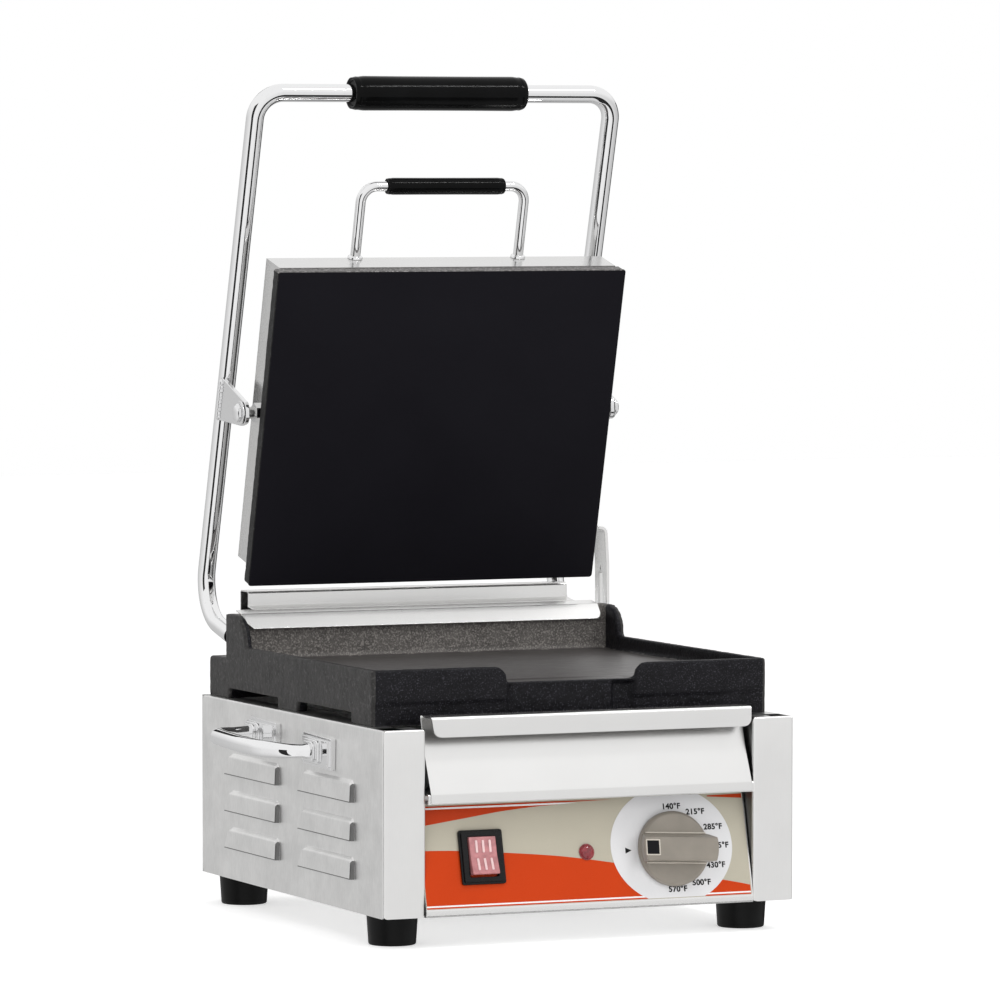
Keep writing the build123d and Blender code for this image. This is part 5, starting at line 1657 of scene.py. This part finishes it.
def studio(tree):
    """White walls, greyer behind the press; polished metal also sees a few dark flags."""
    tree.nodes.clear()
    output = tree.nodes.new("ShaderNodeOutputWorld")
    coordinates = tree.nodes.new("ShaderNodeTexCoord")
    split = tree.nodes.new("ShaderNodeSeparateXYZ")
    tree.links.new(coordinates.outputs["Generated"], split.inputs[0])
    heading = math_node(tree, "ARCTAN2", split.outputs["X"], split.outputs["Y"])
    turn = math_node(tree, "COSINE", math_node(tree, "SUBTRACT", heading, radians(BRIGHT_HEADING)))
    bright = math_node(tree, "MULTIPLY_ADD", turn, 0.24, 0.76)
    height = math_node(tree, "MULTIPLY", split.outputs["Z"], 2.5)
    height.node.use_clamp = True
    missing = math_node(tree, "SUBTRACT", 1.0, bright)
    bright = math_node(tree, "ADD", bright, math_node(tree, "MULTIPLY", missing, height))
    dark = None
    for centre, width, low, high in FLAGS:
        away = math_node(tree, "ABSOLUTE", math_node(tree, "SUBTRACT", heading, radians(centre)))
        flag = math_node(tree, "LESS_THAN", away, radians(width))
        above = math_node(tree, "GREATER_THAN", split.outputs["Z"], low)
        below = math_node(tree, "LESS_THAN", split.outputs["Z"], high)
        flag = math_node(tree, "MULTIPLY", flag, math_node(tree, "MULTIPLY", above, below))
        dark = flag if dark is None else math_node(tree, "MAXIMUM", dark, flag)
    shade = math_node(tree, "MULTIPLY", bright, math_node(tree, "MULTIPLY_ADD", dark, -0.97, 1.0))
    seen = background(tree, 1.0)
    glossy = background(tree, 1.0)
    tree.links.new(shade, glossy.inputs["Color"])
    soft = background(tree, 0.5)
    rays = tree.nodes.new("ShaderNodeLightPath")
    first = shader_mix(tree, rays.outputs["Is Glossy Ray"], soft, glossy)
    second = shader_mix(tree, rays.outputs["Is Camera Ray"], first, seen)
    tree.links.new(second.outputs[0], output.inputs["Surface"])


def background(tree, strength):
    node = tree.nodes.new("ShaderNodeBackground")
    node.inputs["Color"].default_value = (1, 1, 1, 1)
    node.inputs["Strength"].default_value = strength
    return node


def shader_mix(tree, share, first, second):
    """A node that mixes two shaders by a share."""
    node = tree.nodes.new("ShaderNodeMixShader")
    tree.links.new(share, node.inputs[0])
    tree.links.new(first.outputs[0], node.inputs[1])
    tree.links.new(second.outputs[0], node.inputs[2])
    return node


def area_light(name, place, target, size, power, in_gloss):
    """A square light that faces a target and can be hidden from reflections."""
    light = bpy.data.lights.new(name, "AREA")
    light.shape = "SQUARE"
    light.size = size
    light.energy = power
    lamp_object = placed(name, light)
    lamp_object.location = place
    lamp_object.visible_glossy = in_gloss
    aim = Vector(target) - Vector(place)
    lamp_object.rotation_euler = aim.to_track_quat("-Z", "Y").to_euler()
    return light


def camera():
    """A long lens from the front left, a little lower than the raised handle."""
    lens = bpy.data.cameras.new("camera")
    lens.lens = 237.05
    lens.sensor_width = 36
    lens.clip_end = 60
    viewer = placed("camera", lens)
    viewer.location = at(-1.7507, -3.8265, 0.4964)
    viewer.rotation_euler = (radians(90 - 2.9), 0, radians(-23.79))
    bpy.context.scene.camera = viewer


def main():
    side_panel("side_skin_right", 1, "side_panel_right")
    side_panel("side_skin_left", -1, "side_panel_left")
    feet()
    side_handle("carry_handle_right", 1, "side_handle_right", "side_handle_plates_right")
    side_handle("carry_handle_left", -1, "side_handle_left", "side_handle_plates_left")
    control_panel()
    overlay()
    panel_print()
    dial_labels()
    switch()
    rocker()
    lamp()
    knob()
    knob_pointer()
    front_rail()
    grease_tray()
    splash_cap()
    hinge_cover()
    guard_strip()
    griddle()
    lid_plate()
    small_handle()
    grip_sleeve("main_grip_sleeve", "main_grip", 0.0632, 0.0116, 0.004, "arms", "grip_rubber")
    grip_sleeve("lid_grip_sleeve", "lid_grip", 0.0427, 0.0057, 0.002, "lid", "grip_rubber", 0.0008)
    handle_frame()
    hinge_hubs()
    hinge_shaft()
    brackets()
    pivot_bolts()
    dress_all()
    floor_and_light()
    camera()
    bpy.context.scene.view_settings.view_transform = "Standard"


main()
